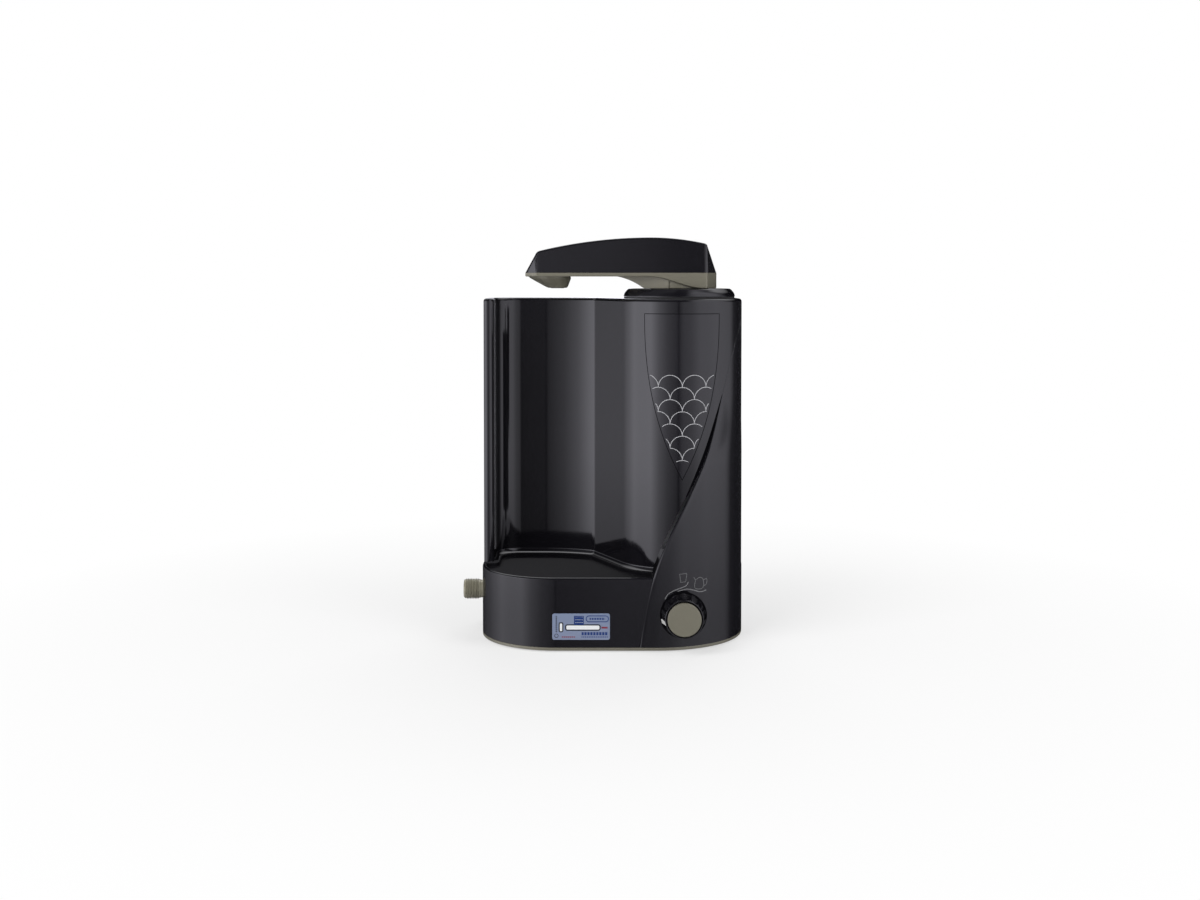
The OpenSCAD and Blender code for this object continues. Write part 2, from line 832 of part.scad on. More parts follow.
module valve_disc_fixed() {
    color(ceramic) place() port_disc(chamber_r - seam / 2, disc_joint);
}

module valve_disc() {
    color(ceramic) place() port_disc(chamber_r - 1.2, disc_front);
}

module valve_stem() {
    color(brass) place() {
        rod_y(knob_x, knob_z, stem_r, stem_front, disc_front);
        difference() {
            rod_y(knob_x, knob_z, chamber_r - 1.2, chamber_front + lift, disc_front);
            rod_y(knob_x, knob_z + chamber_r / 2, barb_bore, chamber_front, disc_front + eps);
        }
    }
}

module stem_seal() {
    color(rubber) place() translate([knob_x, front + groove_w / 2, knob_z]) rotate([90, 0, 0])
        torus(stem_r + stem_seal_r + press / 2, stem_seal_r);
}

// Tapered body of the knob along +Z, from its skirt to its front
module knob_form() {
    cylinder(r1 = knob_r, r2 = knob_front_r, h = knob_h);
}

module on_knob_axis() {
    translate([knob_x, front - lift, knob_z]) rotate([90, 0, 0]) children();
}

module pointer_slot(gap) {
    rotate(pointer_turn) translate([knob_front_r - pointer_depth - gap, -pointer_half - gap, -eps])
        cube([knob_r, 2 * (pointer_half + gap), knob_h + 2 * eps]);
}

module knob() {
    color(charcoal) place() on_knob_axis() difference() {
        knob_form();
        for (i = [0 : flutes - 1]) rotate(pointer_turn + (i + 0.5) * 360 / flutes)
            translate([knob_r + flute_out, 0, 0]) rotate([0, -atan((knob_r - knob_front_r) / knob_h), 0])
                translate([0, 0, -knob_h]) cylinder(r = flute_r, h = 3 * knob_h);
        translate([0, 0, -eps]) cylinder(r = nut_r + nut_gap, h = knob_cavity + eps);
        cylinder(r = stem_r + press / 2, h = knob_h - knob_web);
        translate([0, 0, knob_h - cap_sink]) cylinder(r = knob_cap_r + seam, h = cap_sink + eps);
        pointer_slot(seam / 2);
    }
}

module knob_cap() {
    flank = cap_sink + knob_cap_proud - cap_chamfer;
    color(champagne) place() on_knob_axis() translate([0, 0, knob_h - cap_sink]) {
        cylinder(r = knob_cap_r, h = flank);
        translate([0, 0, flank]) cylinder(r1 = knob_cap_r, r2 = knob_cap_r - cap_chamfer, h = cap_chamfer);
    }
}

module knob_pointer() {
    color(white) place() on_knob_axis() intersection() {
        knob_form();
        pointer_slot(0);
    }
}

module filter_manifold() {
    color(white) place() difference() {
        translate([column_x, column_y, 0]) {
            translate([0, 0, base_h]) cylinder(r = flange_r, h = flange_t);
            translate([0, 0, base_h]) cylinder(r = neck_filter_r + 4, h = cup_top - base_h);
            translate([0, 0, base_h - barb_len]) barb(barb_len + eps);
        }
        translate([column_x, column_y, base_h + flange_t])
            cylinder(r = neck_filter_r + seam / 2, h = cup_h + eps);
        translate([column_x, column_y, base_h - barb_len - eps]) cylinder(r = barb_bore, h = big);
        for (a = manifold_turns) manifold_screw_at(a) translate([0, 0, base_h - eps])
            cylinder(r = screw_r + seam, h = flange_t + 2 * eps);
    }
}

module manifold_screws() {
    color(steel) place() for (a = manifold_turns) manifold_screw_at(a)
        translate([0, 0, base_h + flange_t + head_h]) mirror([0, 0, 1]) screw(shank - eps);
}

module filter_shell() {
    color(white) place() translate([column_x, column_y, cup_top + end_cap_t])
        ring(filter_r - filter_wall, filter_r, filter_h - 2 * end_cap_t);
}

// Cup-shaped end cap along +Z that takes the end of the shell
module end_cap() {
    difference() {
        cylinder(r = filter_r + 1.5, h = end_cap_h);
        translate([0, 0, end_cap_t]) ring(filter_r - filter_wall - seam / 2, filter_r + seam / 2, end_cap_h);
        translate([0, 0, end_cap_t]) cylinder(r = filter_r - filter_wall - 2, h = end_cap_h);
    }
}

module filter_lower_cap() {
    color(white) place() translate([column_x, column_y, cup_top]) difference() {
        union() {
            end_cap();
            translate([0, 0, -cup_h + 1]) cylinder(r = neck_filter_r, h = cup_h);
        }
        translate([0, 0, -cup_h]) cylinder(r = outlet_r, h = 2 * cup_h);
        translate([0, 0, -cup_h / 2 - 1.4]) ring(neck_filter_r - 1.6, neck_filter_r + eps, 2.8);
    }
}

module filter_upper_cap() {
    color(white) place() translate([column_x, column_y, filter_top]) difference() {
        union() {
            mirror([0, 0, 1]) end_cap();
            cylinder(r = outlet_r, h = outlet_end - filter_top);
        }
        translate([0, 0, -end_cap_h]) cylinder(r = outlet_r - 2.2, h = big);
        translate([0, 0, outlet_seal_z - groove_w / 2 - filter_top])
            ring(outlet_r - 1.2, outlet_r + eps, groove_w);
    }
}

module carbon_block() {
    color(carbon) place() translate([column_x, column_y, cup_top + end_cap_t])
        ring(core_bore, filter_r - filter_wall - 2.5, filter_h - 2 * end_cap_t);
}

module filter_seals() {
    color(rubber) place() {
        translate([column_x, column_y, cup_top - cup_h / 2]) torus(neck_filter_r - 0.8, 0.78);
        translate([column_x, column_y, outlet_seal_z]) torus(outlet_r - 0.6, 0.58);
    }
}

// Round cap over the column: skirt in the opening, hub for the spigot and a dished top inside a raised rim
module filter_cap() {
    color(charcoal) place() translate([column_x, column_y, 0]) rotate_extrude() polygon([
        [spigot_r + turn_gap, hub_bottom], [hub_r, hub_bottom], [hub_r, cap_top - cap_dish - cap_disc_t],
        [cap_skirt_r - wall, cap_top - cap_dish - cap_disc_t], [cap_skirt_r - wall, body_h - cap_skirt],
        [cap_skirt_r, body_h - cap_skirt], [cap_skirt_r, body_h + gasket_t], [cap_r, body_h + gasket_t],
        [cap_r, cap_top - cap_dish], [cap_r - cap_dish, cap_top],
        [cap_r - 4 * cap_dish, cap_top], [cap_r - 5 * cap_dish, cap_top - cap_dish],
        [spigot_r + turn_gap, cap_top - cap_dish],
    ]);
}

module cap_gasket() {
    color(rubber) place() translate([column_x, column_y, body_h])
        ring(cap_skirt_r + seam, cap_r - 3 * seam, gasket_t);
}

module swivel_washer() {
    color(white) place() translate([column_x, column_y, cap_top - cap_dish])
        ring(spigot_r + 2 * lift, boss_r - 8, cap_dish + lift);
}

module on_pivot() {
    translate([column_x, column_y, 0]) children();
}

// Plan of the spout: four equal corner circles and the flanks that touch them
module spout_plan(inset = 0) {
    r = spout_corner_r - inset;
    tip = [-spout_tip + spout_corner_r, tip_half - spout_corner_r];
    tail = [spout_tail - spout_corner_r, tail_half - spout_corner_r];
    run = (tail - tip) / norm(tail - tip);
    side = (r - touch_sink) * [-run.y, run.x];
    half = [tip + [-r, 0], tip + side, tail + side, tail + [r, 0]];
    polygon(concat(half, [for (i = [3 : -1 : 0]) [half[i].x, -half[i].y]]));
    for (c = [tip, tail], s = [1, -1]) translate([c.x, s * c.y]) circle(r);
}

// Side view of the dark cover: two arcs that meet level at the top, and leaning ends
module spout_side(inset = 0) {
    top = spout_top - inset;
    tip = -spout_tip + inset / cos(tip_lean);
    tail = spout_tail - inset / cos(tail_lean);
    rise = cover_rise + 10;
    intersection() {
        polygon([
            [tip, cover_z], [tip + rise * tan(tip_lean), cover_z + rise],
            [tail - rise * tan(tail_lean), cover_z + rise], [tail, cover_z],
        ]);
        union() {
            intersection() {
                translate([apex_x, spout_top - tip_arc_r]) circle(tip_arc_r - inset);
                translate([apex_x - big, 0]) square([big, big]);
            }
            intersection() {
                translate([apex_x, spout_top - tail_arc_r]) circle(tail_arc_r - inset);
                translate([apex_x, 0]) square([big, big]);
            }
        }
    }
}

module spout_form(inset = 0) {
    intersection() {
        translate([0, 0, cover_z]) linear_extrude(cover_rise + eps) spout_plan(inset);
        translate([0, body_d / 2, 0]) rotate([90, 0, 0]) linear_extrude(body_d) spout_side(inset);
    }
}

module spout_cover() {
    color(charcoal) place() on_pivot() difference() {
        union() {
            difference() {
                spout_form();
                spout_form(spout_wall);
            }
            intersection() {
                spout_form();
                for (p = concat(arm_screws, boss_screws)) translate([p.x, p.y, cover_z])
                    cylinder(r = post_r, h = cover_rise);
            }
        }
        for (p = concat(arm_screws, boss_screws)) translate([p.x, p.y, cover_z - eps])
            cylinder(r = pilot_r, h = shank + eps);
    }
}

// Underside of the band, deepening in an S-curve towards the tail
function swoosh(x) =
    let (t = min(1, max(0, (x - swoosh_start) / (swoosh_end - swoosh_start))))
    band_z - boss_drop * t * t * (3 - 2 * t);

module spout_base() {
    steps = 16;
    step = (swoosh_end - swoosh_start) / steps;
    curve = [for (i = [0 : steps]) let (x = swoosh_start + i * step) [x, swoosh(x)]];
    color(champagne) place() on_pivot() difference() {
        union() {
            intersection() {
                translate([0, 0, boss_z]) linear_extrude(cover_z - boss_z) spout_plan();
                translate([0, body_d / 2, 0]) rotate([90, 0, 0]) linear_extrude(body_d) polygon(concat(
                    [[-spout_tip, cover_z], [-spout_tip, band_z]], curve,
                    [[spout_tail, boss_z], [spout_tail, cover_z]]
                ));
            }
            translate([0, 0, boss_z]) cylinder(r = boss_r, h = boss_drop + eps);
            nozzle_form();
            spout_lip();
        }
        translate([0, 0, boss_z + boss_floor]) difference() {
            ring(socket_r + socket_wall, boss_r - wall, big);
            for (p = boss_screws) translate([p.x, p.y, 0])
                cylinder(r = post_r, h = cover_z - boss_z - boss_floor);
        }
        translate([0, 0, boss_z + boss_floor]) cylinder(r = socket_r, h = big);
        translate([0, 0, boss_z - eps]) cylinder(r = spigot_r + seam / 2, h = big);
        translate([-nozzle_reach, 0, boss_z - eps]) cylinder(r = nozzle_mouth_r - nozzle_wall, h = big);
        translate([-nozzle_reach, 0, boss_z + nozzle_step]) cylinder(r = hose_r + 2 * seam, h = big);
        for (p = arm_screws) translate([p.x, p.y, band_z]) screw_hole();
        for (p = boss_screws) translate([p.x, p.y, boss_z]) screw_hole();
    }
}

// Counterbored hole for a spout screw
module screw_hole() {
    translate([0, 0, -eps]) cylinder(r = head_r + seam, h = head_sink + head_h + eps);
    cylinder(r = screw_r + seam, h = big);
}

// Bulb-shaped nozzle under the tip
module nozzle_form() {
    steps = 12;
    depth = band_z - boss_z;
    translate([-nozzle_reach, 0, boss_z]) rotate_extrude() polygon(concat(
        [[0, 0]],
        [for (i = [0 : steps]) let (t = i / steps)
            [nozzle_mouth_r + (nozzle_top_r - nozzle_mouth_r) * (1 - sqrt(1 - t * t)), t * depth]],
        [[nozzle_top_r, depth + eps], [0, depth + eps]]
    ));
}

// Lip that locates the cover on the band
module spout_lip() {
    translate([0, 0, cover_z - eps]) linear_extrude(lip_h + eps) difference() {
        spout_plan(lip_in);
        spout_plan(lip_in + lip_t);
    }
}

module spout_screws() {
    color(steel) place() on_pivot() {
        for (p = arm_screws) translate([p.x, p.y, band_z + head_sink]) screw(band_t + screw_bite);
        for (p = boss_screws) translate([p.x, p.y, boss_z + head_sink])
            screw(boss_drop + band_t + screw_bite);
    }
}

module spout_spigot() {
    flange_z = boss_z + boss_floor;
    color(white) place() on_pivot() difference() {
        union() {
            translate([0, 0, spigot_bottom]) cylinder(r = spigot_r, h = flange_z - spigot_bottom + eps);
            translate([0, 0, flange_z]) cylinder(r = socket_r - seam, h = wall);
            translate([0, 0, flange_z]) barb(tube_run_z - tube_bend - flange_z);
        }
        translate([0, 0, spigot_bottom - eps])
            cylinder(r = outlet_r + turn_gap, h = flange_z - spigot_bottom);
        cylinder(r = barb_bore, h = big);
        for (z = spigot_seal_z) translate([0, 0, z - groove_w / 2])
            ring(spigot_r - spigot_groove, spigot_r + eps, groove_w);
        translate([0, 0, hub_bottom - lift - clip_thick - seam])
            ring(spigot_r - spigot_groove, spigot_r + eps, clip_thick + 2 * seam);
    }
}

module spigot_seals() {
    color(rubber) place() on_pivot() for (z = spigot_seal_z) translate([0, 0, z])
        torus(spigot_r - spigot_groove / 2, spigot_groove / 2 - press / 2);
}

// Open retaining clip under the hub
module spigot_clip() {
    color(steel) place() on_pivot() translate([0, 0, hub_bottom - lift - clip_thick])
        rotate_extrude(angle = 300) translate([spigot_r - spigot_groove + seam, 0])
            square([spigot_tail, clip_thick]);
}

// From the spigot, along the arm and down into the nozzle
module spout_tube() {
    foot_z = boss_z + boss_floor + wall;
    turn_z = tube_run_z - tube_bend;
    mouth_z = boss_z + nozzle_step + mouth_t;
    color(clear_hose) place() on_pivot() {
        translate([0, 0, foot_z]) hose_run(turn_z - foot_z);
        translate([-tube_bend, 0, turn_z]) rotate([90, 0, 0]) hose_elbow(tube_bend);
        translate([-nozzle_reach + tube_bend, 0, tube_run_z]) rotate([0, 90, 0])
            hose_run(nozzle_reach - 2 * tube_bend);
        translate([-nozzle_reach + tube_bend, 0, turn_z]) rotate([90, 0, 0]) rotate(90) hose_elbow(tube_bend);
        translate([-nozzle_reach, 0, mouth_z]) hose_run(turn_z - mouth_z);
    }
}

module nozzle_insert() {
    color(charcoal) place() on_pivot() translate([-nozzle_reach, 0, boss_z]) difference() {
        union() {
            cylinder(r = nozzle_mouth_r - nozzle_wall - seam, h = nozzle_step + eps);
            translate([0, 0, nozzle_step]) cylinder(r = hose_r + seam, h = mouth_t);
            translate([0, 0, nozzle_step]) barb(tube_run_z - tube_bend - boss_z - nozzle_step);
        }
        translate([0, 0, -eps]) cylinder(r = shower_r + 1.8, h = mouth_t + eps);
        for (a = [0 : 60 : 300]) rotate(a) translate([shower_r, 0, 0])
            cylinder(r = shower_hole_r, h = nozzle_step + mouth_t + eps);
        translate([0, 0, nozzle_step + mouth_t]) cylinder(r = barb_bore, h = big);
    }
}

base_plate();
rubber_feet();
base_screws();
base_housing();
life_indicator();
upper_housing();
housing_screws();
rear_cover();
rear_screws();
front_cover();
inlay_plate();
inlet_nipple();
inlet_gasket();
inlet_nut();
inlet_hose();
outlet_hose();
hose_clips();
valve_body();
valve_cap();
valve_nut();
valve_disc_fixed();
knob();
knob_cap();
knob_pointer();
valve_stem();
valve_disc();
stem_seal();
filter_manifold();
manifold_screws();
filter_shell();
filter_lower_cap();
filter_upper_cap();
carbon_block();
filter_seals();
filter_cap();
cap_gasket();
swivel_washer();
spout_base();
spout_cover();
spout_screws();
spout_spigot();
spigot_seals();
spigot_clip();
spout_tube();
nozzle_insert();
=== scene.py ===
import json
import math

import bmesh
import bpy
from bmesh.types import BMEdge, BMVert
from mathutils import Matrix, Vector


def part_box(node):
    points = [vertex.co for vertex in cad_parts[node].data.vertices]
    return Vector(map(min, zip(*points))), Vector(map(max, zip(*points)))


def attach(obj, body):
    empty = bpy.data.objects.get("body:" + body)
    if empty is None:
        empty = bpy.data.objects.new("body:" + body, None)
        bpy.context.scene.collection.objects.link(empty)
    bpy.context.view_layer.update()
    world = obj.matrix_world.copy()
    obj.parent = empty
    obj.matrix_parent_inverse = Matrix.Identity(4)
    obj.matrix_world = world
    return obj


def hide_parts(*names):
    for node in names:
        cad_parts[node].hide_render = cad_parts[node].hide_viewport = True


bl_info = {
    "name": "Countertop Water Purifier",
    "version": (1, 0, 0),
    "blender": (4, 5, 0),
    "location": "View3D > Sidebar > Purifier",
    "description": "Models the visible pieces of a countertop water purifier around its CAD frame",
    "category": "Add Mesh",
}

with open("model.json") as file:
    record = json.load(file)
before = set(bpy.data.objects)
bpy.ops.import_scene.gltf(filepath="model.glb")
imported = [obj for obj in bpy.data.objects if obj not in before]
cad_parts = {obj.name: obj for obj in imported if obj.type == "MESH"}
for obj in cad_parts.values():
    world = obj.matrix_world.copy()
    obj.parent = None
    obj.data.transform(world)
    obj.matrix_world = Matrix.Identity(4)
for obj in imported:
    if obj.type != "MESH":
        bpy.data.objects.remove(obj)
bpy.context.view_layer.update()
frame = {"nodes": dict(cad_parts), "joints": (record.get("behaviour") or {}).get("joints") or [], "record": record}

# Pieces are modelled in millimetres and scaled to metres when they are finished.
MM = 0.001
TOUCH = 0.0005
FRONT = Vector((0, -1, 0))
BACK = Vector((0, 1, 0))


def node_box(node):
    """Lowest and highest corner of a CAD node in millimetres."""
    low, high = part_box(node)
    return low / MM, high / MM


def joint_point(name):
    """A joint's place in millimetres."""
    places = {joint["name"]: joint["pos_m"] for joint in frame["joints"]}
    return Vector(places[name]) / MM


BASE_LOW, BASE_HIGH = node_box("base_housing")
PLATE_LOW, PLATE_HIGH = node_box("base_plate")
COVER_LOW, COVER_HIGH = node_box("front_cover")
INLAY_LOW, INLAY_HIGH = node_box("inlay_plate")
REAR_LOW, REAR_HIGH = node_box("rear_cover")
SCREWS_LOW, SCREWS_HIGH = node_box("rear_screws")
CAP_LOW, CAP_HIGH = node_box("filter_cap")
INLET_LOW, INLET_HIGH = node_box("inlet_nipple")
KNOB_LOW, KNOB_HIGH = node_box("knob")
KNOB_CAP_LOW, KNOB_CAP_HIGH = node_box("knob_cap")
SPOUT_LOW, SPOUT_HIGH = node_box("spout_cover")
SPOUT_FOOT = node_box("spout_base")[0].z
HOUSING_RIGHT = node_box("upper_housing")[1].x
COLUMN = joint_point("spout_swivel")
KNOB_AXIS = joint_point("knob_turn")

# The spout's tail ends 3 mm before its solid. The card is a little smaller than its solid and sits higher.
SPOUT_TAIL = SPOUT_HIGH.x - 3
CARD_LOW, CARD_HIGH = node_box("life_indicator")
CARD_LOW += Vector((-0.2, 0, 1.8))
CARD_HIGH += Vector((-2.2, 0, 0.4))

# Corners of the body's plan.
LEFT_FRONT_R = 62
RIGHT_FRONT_R = 72
BACK_R = 25
LEFT_X = BASE_LOW.x + LEFT_FRONT_R
LEFT_Y = BASE_LOW.y + LEFT_FRONT_R
CORNER_X = BASE_HIGH.x - RIGHT_FRONT_R
CORNER_Y = BASE_LOW.y + RIGHT_FRONT_R

# The tray in the base and the bay above it.
TRAY_DEPTH = 4
RIM_WIDTH = 3
CURB_WIDTH = 4.5
COLUMN_R = 51
HOUSING_INSET = 0.5
HOUSING_TOP = 274
HOUSING_BACK = BASE_HIGH.y - HOUSING_INSET
WALL_WIDTH = 8.3
NOSE_R = WALL_WIDTH / 2
NOSE_Y = BASE_LOW.y + 69.15
BAY_BACK = BASE_HIGH.y - 19
BAY_CORNER_R = 20
BAY_LEFT = BASE_LOW.x + HOUSING_INSET + WALL_WIDTH
SWEEP_R = 85
SWEEP = Vector((BAY_LEFT + 40, BAY_BACK - SWEEP_R))
BEND_R = 8
SLANT_TURN = 205.39
SLANT = Vector((math.cos(math.radians(SLANT_TURN)), math.sin(math.radians(SLANT_TURN))))

# The front cover's curved edge.
EDGE_SWING = 38
EDGE_RUN = 75
EDGE_MIDDLE = 112
FLARE = 13
FLARE_FROM = 172
FLARE_RUN = 84
COVER_WALL = 2.6
COVER_END_Y = BASE_LOW.y + 59
COVER_PROUD = 0.35
LEAN_FROM = 145
LEAN_TO = 204
SEAM = 0.25

# The V-shaped inlay: half its width at the top, and how strongly its sides bow.
INLAY_HALF = 31.5
INLAY_BOW = 2.2


def share(value, start, end):
    """How far a value has come from start to end, between 0 and 1."""
    return min(1, max(0, (value - start) / (end - start)))


def smooth_share(value, start, end):
    """The same with a soft start and end."""
    part = share(value, start, end)
    return part ** 2 * (3 - 2 * part)


def spread(low, high, steps):
    """Even values from low to high."""
    return [low + (high - low) * step / steps for step in range(steps + 1)]


def cover_edge(height):
    """X of the front cover's S-shaped edge at this height."""
    flare = FLARE * max(0, (height - FLARE_FROM) / FLARE_RUN) ** 2
    return COLUMN.x + EDGE_SWING * math.tanh((height - EDGE_MIDDLE) / EDGE_RUN) + flare


def front_y(x):
    """Y of the body's front at this X, round the right corner too."""
    if x <= CORNER_X:
        return BASE_LOW.y
    return CORNER_Y - math.sqrt(max(0, RIGHT_FRONT_R ** 2 - (x - CORNER_X) ** 2))


def inlay_half(height):
    """Half width of the V-shaped inlay at this height."""
    return INLAY_HALF * (1 - (1 - share(height, INLAY_LOW.z, INLAY_HIGH.z)) ** INLAY_BOW)


def on_column(lift):
    """Places a flat point (arc length, height) this far in front of the column's face."""
    def place(point):
        turn = point.x / COLUMN_R
        radius = COLUMN_R + lift
        return COLUMN.x + radius * math.sin(turn), COLUMN.y - radius * math.cos(turn), point.y
    return place


def on_cover(point, lift=0.06):
    """Places a flat point (X, height) on the front cover."""
    return point.x, front_y(point.x) - lift, point.y


def eased(points, radius, steps=4):
    """A profile whose inner corners are replaced by small curves of about this radius."""
    curve = [Vector(points[0])]
    for before, corner, after in zip(points, points[1:], points[2:]):
        corner = Vector(corner)
        back = Vector(before) - corner
        ahead = Vector(after) - corner
        start = corner + back.normalized() * min(radius, back.length / 2)
        end = corner + ahead.normalized() * min(radius, ahead.length / 2)
        for part in spread(0, 1, steps):
            curve.append(start * (1 - part) ** 2 + corner * 2 * part * (1 - part) + end * part ** 2)
    curve.append(Vector(points[-1]))
    return curve


def smooth_path(points, steps=10):
    """A Catmull-Rom curve through flat points."""
    marks = [Vector(point) for point in points]
    marks = [marks[0] * 2 - marks[1]] + marks + [marks[-1] * 2 - marks[-2]]
    curve = []
    for first, start, end, last in zip(marks, marks[1:], marks[2:], marks[3:]):
        for part in spread(0, 1, steps)[:-1]:
            bend = (first * 2 - start * 5 + end * 4 - last) * part ** 2
            twist = (start * 3 - first - end * 3 + last) * part ** 3
            curve.append((start * 2 + (end - first) * part + bend + twist) / 2)
    return curve + [marks[-2]]


def foot_round(place, rise, inset, steps=5):
    """Levels (height, inset) of a quarter round that starts flat at this height."""
    turns = spread(0, math.pi / 2, steps)
    return [(place + rise * (1 - math.cos(turn)), inset * (1 - math.sin(turn))) for turn in turns]


def head_round(place, rise, inset, steps=5):
    """Levels (height, inset) of a quarter round that ends flat at this height."""
    turns = spread(0, math.pi / 2, steps)
    return [(place - rise * (1 - math.sin(turn)), inset * (1 - math.cos(turn))) for turn in turns]


def rounded(low, high, foot, head):
    """Levels of a wall with its foot and head rounded by these radii."""
    return foot_round(low, foot, foot) + head_round(high, head, head)


def only(geometry, kind):
    """The items of one kind."""
    return [item for item in geometry if isinstance(item, kind)]


def everything(mesh):
    """All verts, edges and faces of a mesh."""
    return mesh.verts[:] + mesh.edges[:] + mesh.faces[:]


def chain(mesh, points):
    """Verts and edges in a row through these points."""
    last = bmesh.ops.create_vert(mesh, co=points[0])["vert"][0]
    row = [last]
    for point in points[1:]:
        made = bmesh.ops.extrude_vert_indiv(mesh, verts=[last])
        last = made["verts"][0]
        last.co = point
        row += [last, *made["edges"]]
    return row


def outline(mesh, height, *steps):
    """A closed flat loop of edges; a step is a point to go to, or an arc's middle, degrees and parts."""
    older = set(mesh.edges)
    first = bmesh.ops.create_vert(mesh, co=(*steps[0], height))["vert"][0]
    last = first
    for x, y, *arc in steps[1:]:
        if arc:
            made = bmesh.ops.spin(mesh, geom=[last], cent=(x, y, height), axis=(0, 0, 1),
                                  angle=math.radians(arc[0]), steps=arc[1])
            last = only(made["geom_last"], BMVert)[0]
        else:
            last = bmesh.ops.extrude_vert_indiv(mesh, verts=[last])["verts"][0]
            last.co = (x, y, height)
    if (last.co - first.co).length < TOUCH:
        bmesh.ops.weld_verts(mesh, targetmap={last: first})
    else:
        bmesh.ops.contextual_create(mesh, geom=[last, first])
    return [edge for edge in mesh.edges if edge not in older]


def wall(mesh, draw, levels):
    """Bridges the loops that draw(mesh, *level) makes; returns the end loops."""
    loops = [draw(mesh, *level) for level in levels]
    for lower, upper in zip(loops, loops[1:]):
        bmesh.ops.bridge_loops(mesh, edges=lower + upper)
    return loops[0], loops[-1]


def block(mesh, draw, levels):
    """A wall with both ends filled."""
    for loop in wall(mesh, draw, levels):
        bmesh.ops.edgeloop_fill(mesh, edges=loop)


def turned(mesh, profile, centre, axis, steps=96):
    """Spins a profile of (radius, place along the axis) points round the X, Y or Z axis through centre."""
    along = Vector([name == axis for name in "XYZ"])
    side = Vector((0, 0, 1)) if axis == "X" else Vector((1, 0, 0))
    middle = centre - along * centre.dot(along)
    row = chain(mesh, [middle + side * point[0] + along * point[1] for point in profile])
    bmesh.ops.spin(mesh, geom=row, cent=middle, axis=along, angle=math.tau, steps=steps, use_merge=True)


def ribbon(mesh, path, width, place):
    """A flat printed line along a path of flat points; width is a number or one number for each point."""
    points = [Vector(point) for point in path]
    widths = width if isinstance(width, list) else [width] * len(points)
    edge = None
    for index, point in enumerate(points):
        ahead = points[min(index + 1, len(points) - 1)] - points[max(index - 1, 0)]
        side = Vector((-ahead.y, ahead.x)).normalized() * widths[index] / 2
        if edge is None:
            left, right, edge = chain(mesh, [place(point + side), place(point - side)])
            continue
        made = bmesh.ops.extrude_edge_only(mesh, edges=[edge])["geom"]
        edge = only(made, BMEdge)[0]
        mark = left.co.copy()
        left, right = sorted(only(made, BMVert), key=lambda vert: (vert.co - mark).length)
        left.co = place(point + side)
        right.co = place(point - side)


def stand_up(mesh):
    """Turns a lying shape upright, so that its height points to the front."""
    bmesh.ops.transform(mesh, matrix=Matrix.Rotation(math.radians(90), 4, "X"), verts=mesh.verts)


class Piece:
    """A bmesh in millimetres that becomes one finished object of the purifier."""

    def __init__(self, name, slot, body="root"):
        self.name = name
        self.slot = slot
        self.body = body
        self.mesh = bmesh.new()

    def finish(self, material, nodes=(), sharp=30, outward=None, mirrored=True, lining=None):
        """Makes the object, gives it its finish and hides the CAD nodes it stands for."""
        mesh = self.mesh
        bmesh.ops.remove_doubles(mesh, verts=mesh.verts, dist=TOUCH)
        bmesh.ops.recalc_face_normals(mesh, faces=mesh.faces)
        if outward and sum((face.normal for face in mesh.faces), Vector()).dot(outward) < 0:
            bmesh.ops.reverse_faces(mesh, faces=mesh.faces)
        bmesh.ops.scale(mesh, vec=(MM, MM, MM), verts=mesh.verts)
        for face in mesh.faces:
            face.smooth = True
        for edge in mesh.edges:
            edge.smooth = edge.calc_face_angle(0) < math.radians(sharp)
        data = bpy.data.meshes.new(self.name)
        mesh.to_mesh(data)
        mesh.free()
        for name in filter(None, (material, lining)):
            data.materials.append(bpy.data.materials[name])
        piece = bpy.data.objects.new(self.name, data)
        bpy.context.scene.collection.objects.link(piece)
        piece.modifiers.new("flat faces stay flat", "WEIGHTED_NORMAL").keep_sharp = True
        piece.visible_glossy = mirrored
        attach(piece, self.body)
        if nodes:
            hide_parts(*nodes)


def math_node(operation, swapped=False):
    """A method that adds a Math node for its socket and other values."""
    def method(self, *others):
        values = (*others, self) if swapped else (self, *others)
        return self.graph.add("ShaderNodeMath", {"operation": operation}, dict(enumerate(values)))
    return method


class Socket:
    """A node's output that takes part in Python expressions; each operation adds a Math node."""

    def __init__(self, graph, output):
        self.graph = graph
        self.output = output

    __add__ = math_node("ADD")
    __radd__ = math_node("ADD", swapped=True)
    __sub__ = math_node("SUBTRACT")
    __rsub__ = math_node("SUBTRACT", swapped=True)
    __mul__ = math_node("MULTIPLY")
    __rmul__ = math_node("MULTIPLY", swapped=True)
    __truediv__ = math_node("DIVIDE")
    __lt__ = math_node("LESS_THAN")
    __gt__ = math_node("GREATER_THAN")
    __abs__ = math_node("ABSOLUTE")
    above = math_node("MAXIMUM")
    below = math_node("MINIMUM")
    root = math_node("SQRT")
    fraction = math_node("FRACT")
    direction = math_node("ARCTAN2")

    def ramp(self, start, end):
        """0 at start and before it, 1 at end and past it."""
        return ((self - start) / (end - start)).above(0).below(1)


